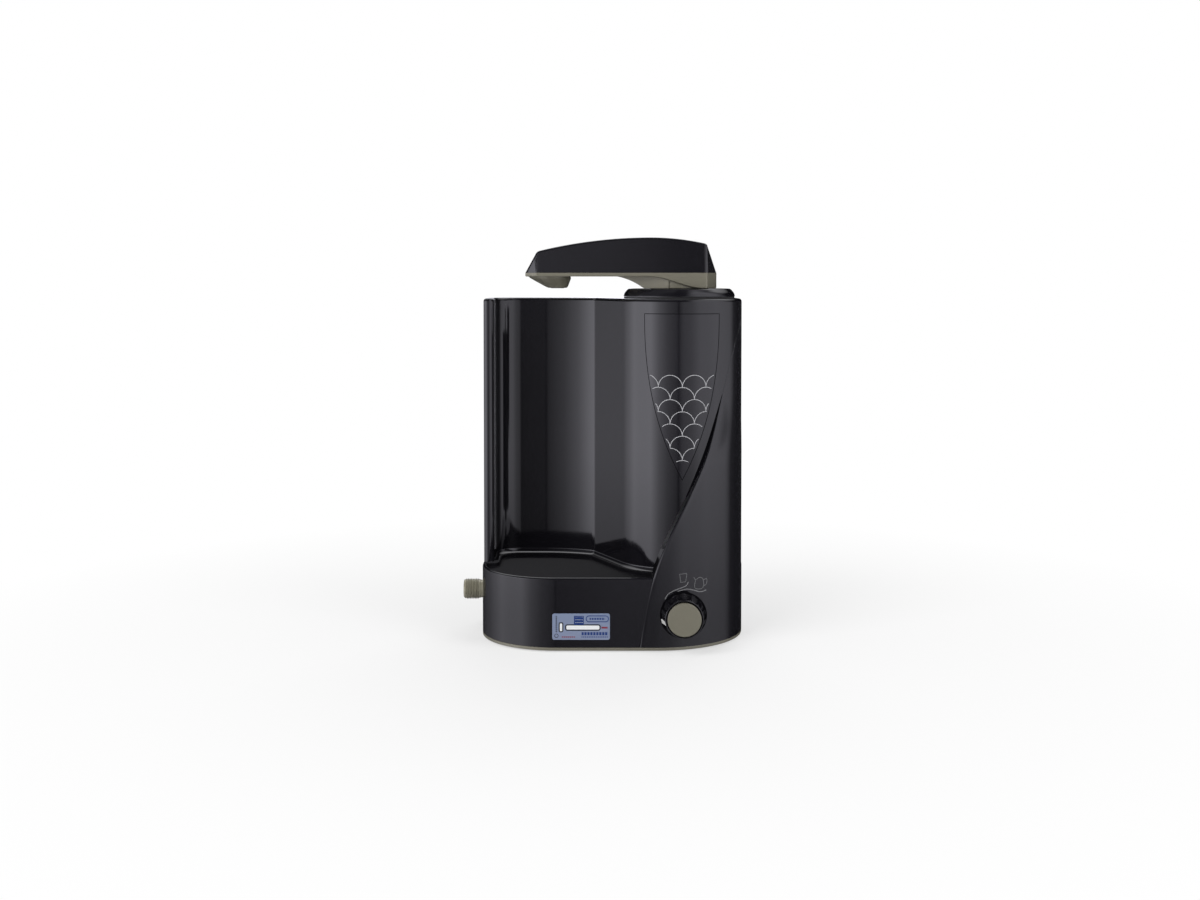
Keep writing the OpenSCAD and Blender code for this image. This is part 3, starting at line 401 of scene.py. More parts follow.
class Graph:
    """A shader node tree that is built node by node."""

    def __init__(self, tree):
        self.tree = tree
        tree.nodes.clear()

    def add(self, kind, settings, sockets, output=0):
        """Adds a node: its settings first, then its sockets' values or links; returns one output."""
        node = self.tree.nodes.new(kind)
        for name, value in settings.items():
            if name == "stops":
                self.set_stops(node.color_ramp.elements, value)
            else:
                setattr(node, name, value)
        for name, value in sockets.items():
            if isinstance(value, Socket):
                self.tree.links.new(value.output, node.inputs[name])
            else:
                node.inputs[name].default_value = value
        return Socket(self, node.outputs[output]) if node.outputs else None

    @staticmethod
    def set_stops(elements, stops):
        """Gives a colour ramp these stops, each a place and a colour."""
        while len(elements) < len(stops):
            elements.new(1)
        for element, (place, colour) in zip(elements, stops):
            element.position = place
            element.color = colour

    def place(self):
        """Object coordinates, in metres."""
        return self.add("ShaderNodeTexCoord", {}, {}, "Object")

    def noise(self, scale, detail, stretch=(1, 1, 1)):
        """A noise between 0 and 1 with this many cells in a metre."""
        vector = self.add("ShaderNodeMapping", {}, {"Vector": self.place(), "Scale": stretch})
        return self.add("ShaderNodeTexNoise", {}, {"Vector": vector, "Scale": scale, "Detail": detail})

    def mix(self, factor, first, second):
        """A colour between two colours."""
        return self.add("ShaderNodeMix", {"data_type": "RGBA"}, {0: factor, 6: first, 7: second}, 2)

    def bump(self, height, strength, distance):
        """A normal that follows a height."""
        return self.add("ShaderNodeBump", {}, {"Height": height, "Strength": strength, "Distance": distance})

    def split(self, vector):
        """The three parts of a vector."""
        node = self.add("ShaderNodeSeparateXYZ", {}, {"Vector": vector}).output.node
        return [Socket(self, output) for output in node.outputs]

    def surface(self, **sockets):
        """Ends the tree in a Principled BSDF; underscores stand for the spaces in socket names."""
        named = {name.replace("_", " "): value for name, value in sockets.items()}
        shader = self.add("ShaderNodeBsdfPrincipled", {}, named)
        self.add("ShaderNodeOutputMaterial", {}, {"Surface": shader})


def material_graph(name):
    """The graph of a new material."""
    material = bpy.data.materials.new(name)
    material.use_nodes = True
    return Graph(material.node_tree)


def tint(colour, factor=1):
    """A colour of four parts, made lighter or darker by a factor."""
    return tuple(min(1, part * factor) for part in colour[:3]) + (1,)


def grained(name, colour, tones, roughness, relief=None, **sockets):
    """A finish whose tone, roughness and relief follow noises.

    tones is (darkest, lightest, noise), roughness is (least, added, noise) and relief is (strength, depth,
    noise). A noise is (scale, detail, stretch).
    """
    graph = material_graph(name)
    dark, light, shade = tones
    least, added, haze = roughness
    if relief:
        strength, depth, grain = relief
        sockets["Normal"] = graph.bump(graph.noise(*grain), strength, depth)
    graph.surface(
        Base_Color=graph.mix(graph.noise(*shade), tint(colour, dark), tint(colour, light)),
        Roughness=least + graph.noise(*haze) * added,
        **sockets,
    )


def gloss_plastic(name, colour, roughness):
    """Polished moulded plastic: faint flow marks, a little haze and orange peel."""
    flow = (14, 2, (1, 1, 0.4))
    haze = (55, 4)
    peel = (320, 1)
    grained(name, colour, (0.8, 1.2, flow), (roughness * 0.6, roughness * 0.8, haze), (0.03, 0.0002, peel),
            IOR=1.5)


def satin_paint(name, colour):
    """Champagne paint with fine metal flake under a satin lacquer."""
    flake = (2600, 2)
    cloud = (45, 3)
    grained(name, colour, (0.82, 1.18, flake), (0.3, 0.14, cloud), (0.08, 0.0001, flake), Metallic=0.25)


def dull_plastic(name, colour, roughness, specular):
    """Dark plastic with a fine eroded texture, for the tray, and as painted shade laid in gaps, grooves and screw
    slots.
    """
    grain = (900, 3)
    grained(name, colour, (0.6, 1.4, grain), (roughness, 0.2, grain), (0.1, 0.0001, grain),
            Specular_IOR_Level=specular)


def silver_ink(name, colour):
    """Silver printing ink with a slight grain."""
    grain = (3000, 2)
    grained(name, colour, (0.85, 1.15, grain), (0.35, 0.15, grain))


def moulded(name, colour, roughness, grain_scale, grain_depth):
    """Unpolished moulded plastic, rubber or ceramic with a fine grain."""
    grain = (grain_scale, 3)
    cloud = (30, 2)
    grained(name, colour, (0.88, 1.1, cloud), (roughness - 0.06, 0.12, grain), (0.25, grain_depth, grain))


def worked_metal(name, colour, stretch):
    """Turned or drawn metal with fine tool marks along one direction."""
    marks = (900, 3, stretch)
    grained(name, colour, (0.85, 1.15, marks), (0.22, 0.2, marks), (0.12, 0.0001, marks), Metallic=1.0)


def rounded_shape(u, v, middle, half, radius):
    """Distance in millimetres from a rounded rectangle's rim, less than zero inside it."""
    across = abs(u - middle[0]) - (half[0] - radius)
    up = abs(v - middle[1]) - (half[1] - radius)
    across_out = across.above(0)
    up_out = up.above(0)
    corner = (across_out * across_out + up_out * up_out).root()
    return corner + across.above(up).below(0) - radius


def printed_card(name, colours):
    """The filter-life strip: a start window, a long gauge window, a change zone and rows of bars.

    Places, half sizes and pitches are in millimetres, from the card's middle.
    """
    graph = material_graph(name)
    x, _, z = graph.split(graph.place())
    middle = (CARD_LOW + CARD_HIGH) / 2
    half_height = CARD_HIGH.z - middle.z
    u = x / MM - middle.x
    v = z / MM - middle.z
    paper = graph.noise(1800, 3)
    blank = (0.78, 0.8, 0.82, 1)
    ink = tint(colours.card_ink)
    blue = tint(colours.card_badge)
    red = tint(colours.card_change)
    window_rim = 0.95
    badge_margin = 0.8
    oval_line = 0.36
    ring_line = 0.25
    colour = graph.mix(v.ramp(-half_height, half_height), tint(colours.card_low), tint(colours.card_high))

    def dashes(along, pitch, inked):
        return abs((along / pitch).fraction() - 0.5) < inked / 2

    for place, half, radius in (((1.4, -0.6), (12.9, 1.6), 1), ((-15.6, -0.4), (0.9, 3), 0.4)):
        window = rounded_shape(u, v, place, half, radius)
        colour = graph.mix(window < window_rim, colour, ink)
        colour = graph.mix(window < 0, colour, blank)
    badge = rounded_shape(u, v, (-1.7, 5), (3.8, 3.5), 0.2)
    colour = graph.mix(badge < 0, colour, blue)
    colour = graph.mix((badge < -badge_margin) * dashes(u, 1.6, 0.5) * dashes(v, 2.2, 0.12), colour, blank)
    oval = rounded_shape(u, v, (12.6, 6.2), (8.6, 2.3), 2.2)
    colour = graph.mix(abs(oval) < oval_line, colour, blue)
    ring = rounded_shape(u, v, (-19.2, -7), (1.4, 1.4), 1.39)
    colour = graph.mix(abs(ring) < ring_line, colour, ink)
    rows = (
        ((12.6, 6.2), (6, 0.8), u, 2, 0.72, blue),
        ((10.6, -5.4), (10.2, 1.2), u, 2.3, 0.74, blue),
        ((10.6, -8), (10.2, 0.45), u, 1.4, 0.6, blue),
        ((-19.2, 1.8), (0.6, 6.6), v, 1.5, 0.6, ink),
        ((-9.8, -8), (5.6, 0.5), u, 1.5, 0.65, red),
    )
    for place, half, along, pitch, inked, tone in rows:
        row = rounded_shape(u, v, place, half, 0.1)
        colour = graph.mix((row < 0) * dashes(along, pitch, inked), colour, tone)
    change = rounded_shape(u, v, (18.2, -0.7), (2.4, 0.7), 0.2)
    colour = graph.mix(change < 0, colour, red)
    graph.surface(Base_Color=colour, Roughness=0.3 + paper * 0.15, Normal=graph.bump(paper, 0.06, 0.0001))


def length(name, description, default):
    """A length that can be set, in metres."""
    return bpy.props.FloatProperty(name=name, description=description, default=default, unit="LENGTH")


def paint(name, description, *parts):
    """A colour that can be set."""
    return bpy.props.FloatVectorProperty(
        name=name, description=description, subtype="COLOR", size=4, default=(*parts, 1))


class PurifierShell(bpy.types.PropertyGroup):
    """Sizes of the base, the housing and the front cover."""

    rim_round: length("Rim round", "Rounding of the base's upper rim", 0.0016)
    tray_round: length("Tray round", "Rounding of the tray's rim", 0.001)
    top_round: length("Top round", "Rounding of the housing's upper edge", 0.0024)
    foot_cove: length("Foot cove", "Hollow round where the bay walls meet the tray", 0.0035)
    edge_round: length("Cover edge round", "Rounding of the front cover's curved edge", 0.0021)
    scale_size: length("Scale size", "Radius of one arc of the inlay's scale pattern", 0.0096)
    line_width: length("Printed line", "Width of the printed lines", 0.0005)


class PurifierFittings(bpy.types.PropertyGroup):
    """Sizes of the knob, the inlet and the spout."""

    flutes: bpy.props.IntProperty(name="Flutes", description="Flutes round the knob", default=14, min=3)
    flute_radius: length("Flute radius", "Radius of one flute", 0.0024)
    thread_pitch: length("Thread pitch", "Pitch of the inlet's pipe thread", 0.001337)
    spout_round: length("Spout round", "Rounding of the spout's edges", 0.0017)
    nozzle_skew: length("Nozzle skew", "How far the nozzle's mouth sits behind its root", 0.007)


class PurifierColours(bpy.types.PropertyGroup):
    """Colours of the finishes."""

    shell: paint("Shell", "Gloss shell", 0.0068, 0.0064, 0.0086)
    champagne: paint("Champagne", "Trim paint", 0.19, 0.18, 0.138)
    silver: paint("Silver ink", "Printed lines", 0.42, 0.42, 0.44)
    card_low: paint("Card foot", "Card at its foot", 0.2, 0.235, 0.345)
    card_high: paint("Card head", "Card at its head", 0.19, 0.235, 0.35)
    card_ink: paint("Card ink", "Outlines and ticks", 0.006, 0.008, 0.016)
    card_badge: paint("Card badge", "Blue badge", 0.003, 0.028, 0.15)
    card_change: paint("Change zone", "End of the gauge", 0.2, 0.02, 0.04)


class PurifierStage(bpy.types.PropertyGroup):
    """The camera and the light."""

    camera_place: bpy.props.FloatVectorProperty(
        name="Camera", description="Camera's place", subtype="TRANSLATION", size=3, unit="LENGTH",
        default=(-0.002, -1.19735, 0.2927))
    camera_dip: bpy.props.FloatProperty(
        name="Dip", description="How far the camera looks down", default=math.radians(2.2), unit="ROTATION")
    camera_lens: bpy.props.FloatProperty(
        name="Lens", description="Focal length", default=44.43, subtype="DISTANCE_CAMERA")
    camera_shift: bpy.props.FloatProperty(
        name="Shift", description="Upright shift of the frame", default=-0.098)
    floor_colour: paint("Floor", "Floor colour", 0.86, 0.86, 0.86)
    ambient: bpy.props.FloatProperty(name="Ambient", description="Even light from all sides", default=0.45)


def back_corners(left, right, back, corner, inset, parts=16):
    """Steps of an outline from its right side round two corners to its left side."""
    return (
        (right - inset, back - corner),
        (right - corner, back - corner, 90, parts),
        (left + corner, back - inset),
        (left + corner, back - corner, 90, parts),
    )


def base_outline(mesh, height, inset):
    """The base's plan, set back where the front cover lies on it."""
    turn = math.asin((COVER_END_Y - CORNER_Y) / RIGHT_FRONT_R)
    outer = RIGHT_FRONT_R - inset
    set_back = BASE_LOW.y + COVER_WALL + SEAM
    edge = cover_edge(height) - SEAM
    return outline(
        mesh, height,
        (CORNER_X + outer * math.cos(turn), CORNER_Y + outer * math.sin(turn)),
        (CORNER_X, CORNER_Y, -math.degrees(turn), 4),
        *back_corners(BASE_LOW.x, BASE_HIGH.x, BASE_HIGH.y, BACK_R, inset),
        (BASE_LOW.x + inset, LEFT_Y),
        (LEFT_X, LEFT_Y, 90, 32),
        (edge, BASE_LOW.y + inset),
        (edge, set_back),
        (CORNER_X, set_back),
        (CORNER_X, CORNER_Y, 90 + math.degrees(turn), 24),
    )


def plate_outline(mesh, height, inset):
    """The base plate's plan."""
    corner = BACK_R - (PLATE_LOW.x - BASE_LOW.x)
    return outline(
        mesh, height,
        (CORNER_X, PLATE_LOW.y + inset),
        (CORNER_X, CORNER_Y, 90, 36),
        *back_corners(PLATE_LOW.x, PLATE_HIGH.x, PLATE_HIGH.y, corner, inset),
        (PLATE_LOW.x + inset, LEFT_Y),
        (LEFT_X, LEFT_Y, 90, 32),
    )


def bay_bend():
    """Middle of the bend between the swept back wall and the slanted wall, and where it starts."""
    foot = COLUMN.xy + SLANT * (COLUMN_R + BEND_R)
    ahead = Vector((-SLANT.y, SLANT.x))
    reach = foot - SWEEP
    half = reach.dot(ahead)
    run = half + math.sqrt(half ** 2 - reach.length_squared + (SWEEP_R - BEND_R) ** 2)
    middle = foot - ahead * run
    return middle, math.degrees(math.atan2(middle.y - SWEEP.y, middle.x - SWEEP.x))


def tray_outline(mesh, height, inset):
    """The tray's plan inside the base's rim and the curb along the bay walls."""
    cover_gap = 1
    lead = math.radians(6)
    lead_line = 3
    curb = CURB_WIDTH + inset
    rim = RIM_WIDTH + inset
    right = cover_edge(BASE_HIGH.z) - cover_gap - inset
    front = BASE_LOW.y + rim
    left_r = LEFT_FRONT_R - rim
    column_y = COLUMN.y - math.sqrt((COLUMN_R + curb) ** 2 - (right - COLUMN.x) ** 2)
    column_turn = math.degrees(math.atan2(column_y - COLUMN.y, right - COLUMN.x)) + 360
    bend, bend_turn = bay_bend()
    nose_x = BAY_LEFT - NOSE_R
    nose_turn = math.degrees(math.acos((BASE_LOW.x + rim - nose_x) / (NOSE_R + curb)))
    return outline(
        mesh, height,
        (LEFT_X, front),
        (right, front),
        (right, column_y),
        (*COLUMN.xy, SLANT_TURN - column_turn, 16),
        bend - SLANT * (BEND_R - curb),
        (*bend, bend_turn + 180 - SLANT_TURN, 12),
        (*SWEEP, 90 - bend_turn, 14),
        (BAY_LEFT + BAY_CORNER_R, BAY_BACK - curb),
        (BAY_LEFT + BAY_CORNER_R, BAY_BACK - BAY_CORNER_R, 90, 14),
        (BAY_LEFT + curb, NOSE_Y),
        (nose_x, NOSE_Y, -nose_turn, 10),
        (LEFT_X - left_r, LEFT_Y - lead_line),
        (LEFT_X - left_r * math.cos(lead), LEFT_Y - left_r * math.sin(lead)),
        (LEFT_X, LEFT_Y, 90 - math.degrees(lead), 28),
    )


def housing_outline(mesh, height, outer, bay):
    """The upper housing's plan, its outside and its bay side set in by their own amounts."""
    nose_blend = 6
    column_blend = 1
    left = BASE_LOW.x + HOUSING_INSET
    bend, bend_turn = bay_bend()
    rim = COLUMN_R - outer
    past_front = math.radians(270 + column_blend)
    return outline(
        mesh, height,
        (HOUSING_RIGHT - outer, COLUMN.y),
        *back_corners(left, HOUSING_RIGHT, HOUSING_BACK, BACK_R - HOUSING_INSET, outer),
        (left + outer, NOSE_Y),
        (left + NOSE_R, NOSE_Y, 180, 16),
        (BAY_LEFT - bay, NOSE_Y + nose_blend),
        (BAY_LEFT - bay, BAY_BACK - BAY_CORNER_R),
        (BAY_LEFT + BAY_CORNER_R, BAY_BACK - BAY_CORNER_R, -90, 16),
        (SWEEP.x, BAY_BACK + bay),
        (*SWEEP, bend_turn - 90, 20),
        (*bend, SLANT_TURN - 180 - bend_turn, 16),
        COLUMN.xy + SLANT * (COLUMN_R - bay),
        (*COLUMN.xy, 270 - SLANT_TURN, 40),
        (COLUMN.x + rim * math.cos(past_front), COLUMN.y + rim * math.sin(past_front)),
        (*COLUMN.xy, 90 - column_blend, 48),
    )


def panel_outline(low, high, corner):
    """Draws an upright panel's outline lying down, with Z as its second direction."""
    left = low.x + corner
    right = high.x - corner
    foot = low.z + corner

    def draw(mesh, height, inset):
        return outline(
            mesh, height,
            (left, low.z + inset),
            (right, low.z + inset),
            (right, foot, 90, 8),
            *back_corners(low.x, high.x, high.z, corner, inset, 8),
            (low.x + inset, foot),
            (left, foot, 90, 8),
        )
    return draw


class PURIFIER_OT_base(bpy.types.Operator):
    """Model the base plate and the base with its tray"""

    bl_idname = "purifier.base"
    bl_label = "Base"

    plate_foot = 0.9
    plate_head = 0.2
    base_foot = 0.4
    tray_fillet = 1.4

    def execute(self, context):
        shell = context.scene.purifier_shell
        plate = Piece("base_trim", "trim_champagne")
        block(plate.mesh, plate_outline, rounded(PLATE_LOW.z, PLATE_HIGH.z, self.plate_foot, self.plate_head))
        plate.finish("champagne", ["base_plate"])

        base = Piece("tray_base", "shell_gloss")
        mesh = base.mesh
        levels = rounded(BASE_LOW.z, BASE_HIGH.z, self.base_foot, shell.rim_round / MM)
        foot, rim = wall(mesh, base_outline, levels)
        bmesh.ops.edgeloop_fill(mesh, edges=foot)
        outside = set(mesh.faces)
        tray_round = shell.tray_round / MM
        levels = foot_round(BASE_HIGH.z, -tray_round, -tray_round)
        levels += head_round(BASE_HIGH.z - TRAY_DEPTH, -self.tray_fillet, self.tray_fillet)
        tray_rim, tray_floor = wall(mesh, tray_outline, levels)
        bmesh.ops.edgeloop_fill(mesh, edges=tray_floor)
        for face in mesh.faces:
            face.material_index = int(face not in outside)
        bmesh.ops.triangle_fill(mesh, edges=rim + tray_rim, use_beauty=True)
        base.finish("shell", ["base_housing"], lining="tray")
        return {"FINISHED"}


class PURIFIER_OT_housing(bpy.types.Operator):
    """Model the upper housing with its column and bay"""

    bl_idname = "purifier.housing"
    bl_label = "Housing"

    steps = 6

    def execute(self, context):
        shell = context.scene.purifier_shell
        cove = shell.foot_cove / MM
        top = shell.top_round / MM
        levels = [(height, 0, inset) for height, inset in foot_round(BASE_HIGH.z, cove, -cove, self.steps)]
        levels += [(height, inset, inset) for height, inset in head_round(HOUSING_TOP, top, top, self.steps)]
        housing = Piece("column_housing", "shell_gloss")
        block(housing.mesh, housing_outline, levels)
        housing.finish("shell", ["upper_housing"], mirrored=False)
        return {"FINISHED"}


class PURIFIER_OT_rear(bpy.types.Operator):
    """Model the rear cover and the four screws that hold it"""

    bl_idname = "purifier.rear"
    bl_label = "Rear cover"

    corner = 6
    edge_round = 0.25
    proud = 0.28
    sunk = 1
    head_radius = 3
    dome_radius = 1.8
    head_dome = 0.04
    head_sunk = 0.1
    head_face = BASE_HIGH.y - 0.03
    slot_face = BASE_HIGH.y - 0.01
    slot_half = 1.7
    slot_width = 0.7

    def execute(self, context):
        rear = Piece("rear_panel", "shell_gloss")
        levels = rounded(-HOUSING_BACK - self.proud, self.sunk - HOUSING_BACK, self.edge_round, 0)
        block(rear.mesh, panel_outline(REAR_LOW, REAR_HIGH, self.corner), levels)
        stand_up(rear.mesh)
        rear.finish("shell_fine", ["rear_cover"], mirrored=False)

        heads = Piece("panel_screws", "steel")
        # The screws' slots are flat dark ribbons on the heads: painted shade standing for the hollow slots.
        slots = Piece("screw_slots", "steel")
        radius = self.head_radius
        foot = HOUSING_BACK + self.proud - self.head_sunk
        profile = [(0, self.head_face), (self.dome_radius, self.head_face - self.head_dome), (radius, foot)]
        for x in (SCREWS_LOW.x + radius, SCREWS_HIGH.x - radius):
            for z in (SCREWS_LOW.z + radius, SCREWS_HIGH.z - radius):
                turned(heads.mesh, eased(profile, 0.5), Vector((x, 0, z)), "Y", 48)
                for across, up in ((self.slot_half, 0), (0, self.slot_half)):
                    line = [(x - across, z - up), (x + across, z + up)]
                    ribbon(slots.mesh, line, self.slot_width, self.on_head)
        heads.finish("steel", ["rear_screws"], outward=BACK, mirrored=False)
        slots.finish("seam", outward=BACK, mirrored=False)
        return {"FINISHED"}

    def on_head(self, point):
        """Places a flat point (X, height) on a screw's head."""
        return point.x, self.slot_face, point.y


class PURIFIER_OT_cover(bpy.types.Operator):
    """Model the front cover with its S-shaped edge, its wall to the column and the knob's seat"""

    bl_idname = "purifier.cover"
    bl_label = "Front cover"

    columns = 48
    back_step = 4
    lower_rows = 12
    rows = 80
    least_turn = math.radians(-45)
    halvings = 30
    wall_share = 0.8
    face_share = 0.25
    # A tapered dark ribbon on the column along the cover's edge is a painted shadow of the step between cover and
    # column: where it starts and ends, its least and added width, its steps, and how far it stands off the column.
    shadow_foot = 118
    shadow_head = LEAN_TO - 6
    shadow_least = 0.3
    shadow_width = 1.5
    shadow_steps = 40
    shadow_lift = 0.08
    seat_radius = 17
    seat_depth = 15

    def wall_depth(self, height):
        """Y where the edge's wall ends: behind the cover on the base, at the column above it."""
        x = cover_edge(height)
        if height < BASE_HIGH.z:
            return front_y(x) + COVER_WALL
        return COLUMN.y - math.sqrt(max(0, COLUMN_R ** 2 - (x - COLUMN.x) ** 2)) + SEAM

    def reach(self, turn, height):
        """How far the face stands from the column's middle; it leans back to the column with height."""
        aside = CORNER_X - COLUMN.x
        ahead = COLUMN.y - BASE_LOW.y
        if ahead * math.tan(turn) < aside:
            reach = ahead / math.cos(turn)
        else:
            reach = aside * math.sin(turn) + math.sqrt(RIGHT_FRONT_R ** 2 - (aside * math.cos(turn)) ** 2)
        return reach + (COLUMN_R + COVER_PROUD - reach) * smooth_share(height, LEAN_FROM, LEAN_TO)

    def point(self, turn, reach):
        """A flat point at this turn from the front and this far from the column's axis."""
        return COLUMN.xy + reach * Vector((math.sin(turn), -math.cos(turn)))

    def face(self, turn, height):
        """A flat point of the cover's outside."""
        return self.point(turn, self.reach(turn, height))

    def back(self, turn, height):
        """A flat point of the cover's inside: behind the face on the base, in the column's wall above it."""
        on_base = height < BASE_HIGH.z
        return self.point(turn, self.reach(turn, height) - COVER_WALL if on_base else COLUMN_R - SEAM)

    def end_turn(self):
        """Turn at which the cover ends on the right side."""
        end_x = CORNER_X + math.sqrt(RIGHT_FRONT_R ** 2 - (CORNER_Y - COVER_END_Y) ** 2)
        return math.atan2(end_x - COLUMN.x, COLUMN.y - COVER_END_Y)

    def edge_turn(self, height):
        """Turn at which the face meets the S-shaped edge, found by halving."""
        low = self.least_turn
        high = self.end_turn()
        for _ in range(self.halvings):
            middle = (low + high) / 2
            if self.face(middle, height).x < cover_edge(height):
                low = middle
            else:
                high = middle
        return low

    def plan(self, height, rounding):
        """The cover's plan at one height: the wall to the column, the rounded edge, the face and the back."""
        start = self.edge_turn(height)
        end = self.end_turn()
        corner = self.face(start, height)
        root = Vector((corner.x, self.wall_depth(height)))
        depth = (root - corner).length
        bite = min(rounding, depth * self.wall_share, (end - start) * COLUMN_R * self.face_share)
        start += 2 * bite / (corner - COLUMN.xy).length
        turns = spread(start, end, self.columns)
        face = [self.face(turn, height) for turn in turns]
        back = [self.back(turn, height) for turn in reversed(turns[::self.back_step])]
        return eased([root, corner, face[0]], bite)[:-1] + face + back

    def shell(self, mesh, rounding):
        """Raises the plan from the cover's foot to its tip."""
        foot, *heights = spread(COVER_LOW.z, BASE_HIGH.z - SEAM, self.lower_rows)
        heights += spread(BASE_HIGH.z, COVER_HIGH.z, self.rows)
        edges = outline(mesh, foot, *self.plan(foot, rounding))
        ring = mesh.verts[:]
        bmesh.ops.edgeloop_fill(mesh, edges=edges)
        for height in heights:
            made = bmesh.ops.extrude_edge_only(mesh, edges=edges)["geom"]
            edges = only(made, BMEdge)
            raised = set(only(made, BMVert))
            ring = [edge.other_vert(vert) for vert in ring for edge in vert.link_edges
                    if edge.other_vert(vert) in raised]
            for vert, point in zip(ring, self.plan(height, rounding)):
                vert.co = (*point, height)
        bmesh.ops.edgeloop_fill(mesh, edges=edges)

    def execute(self, context):
        cover = Piece("s_curve_cover", "shell_gloss")
        self.shell(cover.mesh, context.scene.purifier_shell.edge_round / MM)
        cover.finish("shell", ["front_cover"], mirrored=False)

        # Painted shadow: a dark ribbon on the column beside the cover's edge, widest in its middle, where the step
        # to the column casts shade.
        gap_shadow = Piece("cover_gap", "shell_gloss")
        turns = spread(0, math.pi, self.shadow_steps)
        widths = [self.shadow_least + self.shadow_width * math.sin(turn) for turn in turns]
        line = [(COLUMN_R * math.asin((cover_edge(height) - COLUMN.x) / COLUMN_R) - width / 2, height)
                for height, width in zip(spread(self.shadow_foot, self.shadow_head, self.shadow_steps), widths)]
        ribbon(gap_shadow.mesh, line, widths, on_column(self.shadow_lift))
        gap_shadow.finish("seam", outward=FRONT)

        seat = Piece("knob_seat", "shell_gloss")
        face = BASE_LOW.y
        profile = [(0, face), (self.seat_radius, face), (self.seat_radius, face + self.seat_depth)]
        turned(seat.mesh, eased(profile, 0.7), KNOB_AXIS, "Y")
        seat.finish("shell", outward=FRONT)
        return {"FINISHED"}


class PURIFIER_OT_inlay(bpy.types.Operator):
    """Model the V-shaped inlay plate and print its scale pattern"""

    bl_idname = "purifier.inlay"
    bl_label = "Inlay"

    columns = 24
    rows = 60
    crowding = 1.5
    plate_lift = 0.06
    seam_lift = 0.1
    seam_width = 0.5
    print_lift = 0.12
    pattern_foot = 6
    pattern_height = 74
    pattern_margin = 1.6
    arc_steps = 48

    def execute(self, context):
        shell = context.scene.purifier_shell
        low = INLAY_LOW.z
        high = INLAY_HIGH.z
        heights = [low + (high - low) * part ** self.crowding for part in spread(0, 1, self.rows)]
        left = [(-inlay_half(height), height) for height in heights]
        inlay = Piece("v_inlay", "inlay_gloss")
        self.plate(inlay.mesh, left)
        inlay.finish("inlay", ["inlay_plate"], outward=FRONT)

        # Painted shade: a dark ribbon round the plate stands for the shaded groove between the plate and the
        # column.
        seam = Piece("inlay_seam", "inlay_gloss")
        rim = left[::-1] + [(-x, height) for x, height in left[1:]]
        rim += [(rim[-1][0] * part, high) for part in spread(1, -1, self.columns)[1:]]
        ribbon(seam.mesh, rim, self.seam_width, on_column(self.seam_lift))
        seam.finish("seam", outward=FRONT)

        scales = Piece("scale_print", "inlay_gloss")
        self.scales(scales.mesh, shell.scale_size / MM, shell.line_width / MM)
        scales.finish("silver", outward=FRONT)
        return {"FINISHED"}

    def plate(self, mesh, left):
        """Sweeps the plate's left side across to the right."""
        place = on_column(self.plate_lift)
        edges = only(chain(mesh, [place(Vector(point)) for point in left]), BMEdge)
        for part in spread(-1, 1, self.columns)[1:]:
            made = bmesh.ops.extrude_edge_only(mesh, edges=edges)["geom"]
            edges = only(made, BMEdge)
            for vert in only(made, BMVert):
                vert.co = place(Vector((inlay_half(vert.co.z) * part, vert.co.z)))

    def scales(self, mesh, radius, width):
        """Rows of arcs like fish scales, each row set over by half an arc."""
        for row in range(int(self.pattern_height / radius) + 1):
            height = INLAY_LOW.z + self.pattern_foot + row * radius
            shift = radius * (row % 2)
            count = int(inlay_half(height + radius) / radius) + 2
            for index in range(-count, count + 1):
                self.scale(mesh, index * 2 * radius + shift, height, radius, width)

    def scale(self, mesh, middle, height, radius, width):
        """One arc, printed only where it lies inside the plate's margin."""
        runs = [[]]
        for turn in spread(0, math.pi, self.arc_steps):
            x = middle + radius * math.cos(turn)
            z = height + radius * math.sin(turn)
            if abs(x) < inlay_half(z) - self.pattern_margin:
                runs[-1].append((x, z))
            else:
                runs.append([])
        for run in runs:
            if len(run) > 2:
                ribbon(mesh, run, width, on_column(self.print_lift))


class PURIFIER_OT_prints(bpy.types.Operator):
    """Print the glass and jug signs and the two flow lines above the knob"""

    bl_idname = "purifier.prints"
    bl_label = "Printed signs"

    # Points of the lines, from the knob's axis.
    glass = ((-2.8, 31.6), (-2, 25.2), (2, 25.6), (2.8, 32.1), (-2.8, 31.6))
    jug = ((9.8, 26.6), (9, 21.6), (10.4, 19.2), (15, 19.2), (16.4, 21.8), (15.6, 26.8))
    jug_lip = ((15.6, 26.8), (13.2, 28), (9.8, 26.6), (8.4, 28.6))
    handle = ((16.1, 25.6), (18.9, 26.2), (18.5, 22.2), (16.2, 20.8))
    left_flow = ((-14.4, 12.5), (-11.8, 16.4), (-7.2, 19), (0, 21.4), (2.6, 22.8), (4, 25))
    right_flow = ((-4.5, 18.4), (2.8, 19.6), (9, 18.2), (13.5, 16.6), (18.5, 17.4))
    flow_width = 1.4

    def execute(self, context):
        width = context.scene.purifier_shell.line_width / MM
        signs = Piece("flow_signs", "shell_gloss")
        for path in (self.jug, self.jug_lip, self.handle):
            ribbon(signs.mesh, smooth_path(self.placed(path)), width, on_cover)
        glass = self.placed(self.glass)
        for line in zip(glass, glass[1:]):
            ribbon(signs.mesh, line, width, on_cover)
        signs.finish("grey_ink", outward=FRONT)

        flows = Piece("flow_lines", "shell_gloss")
        for path in (self.left_flow, self.right_flow):
            ribbon(flows.mesh, smooth_path(self.placed(path)), width * self.flow_width, on_cover)
        flows.finish("flow_ink", outward=FRONT)
        return {"FINISHED"}

    def placed(self, path):
        """A line's points as seen from the front."""
        return [(KNOB_AXIS.x + across, KNOB_AXIS.z + up) for across, up in path]


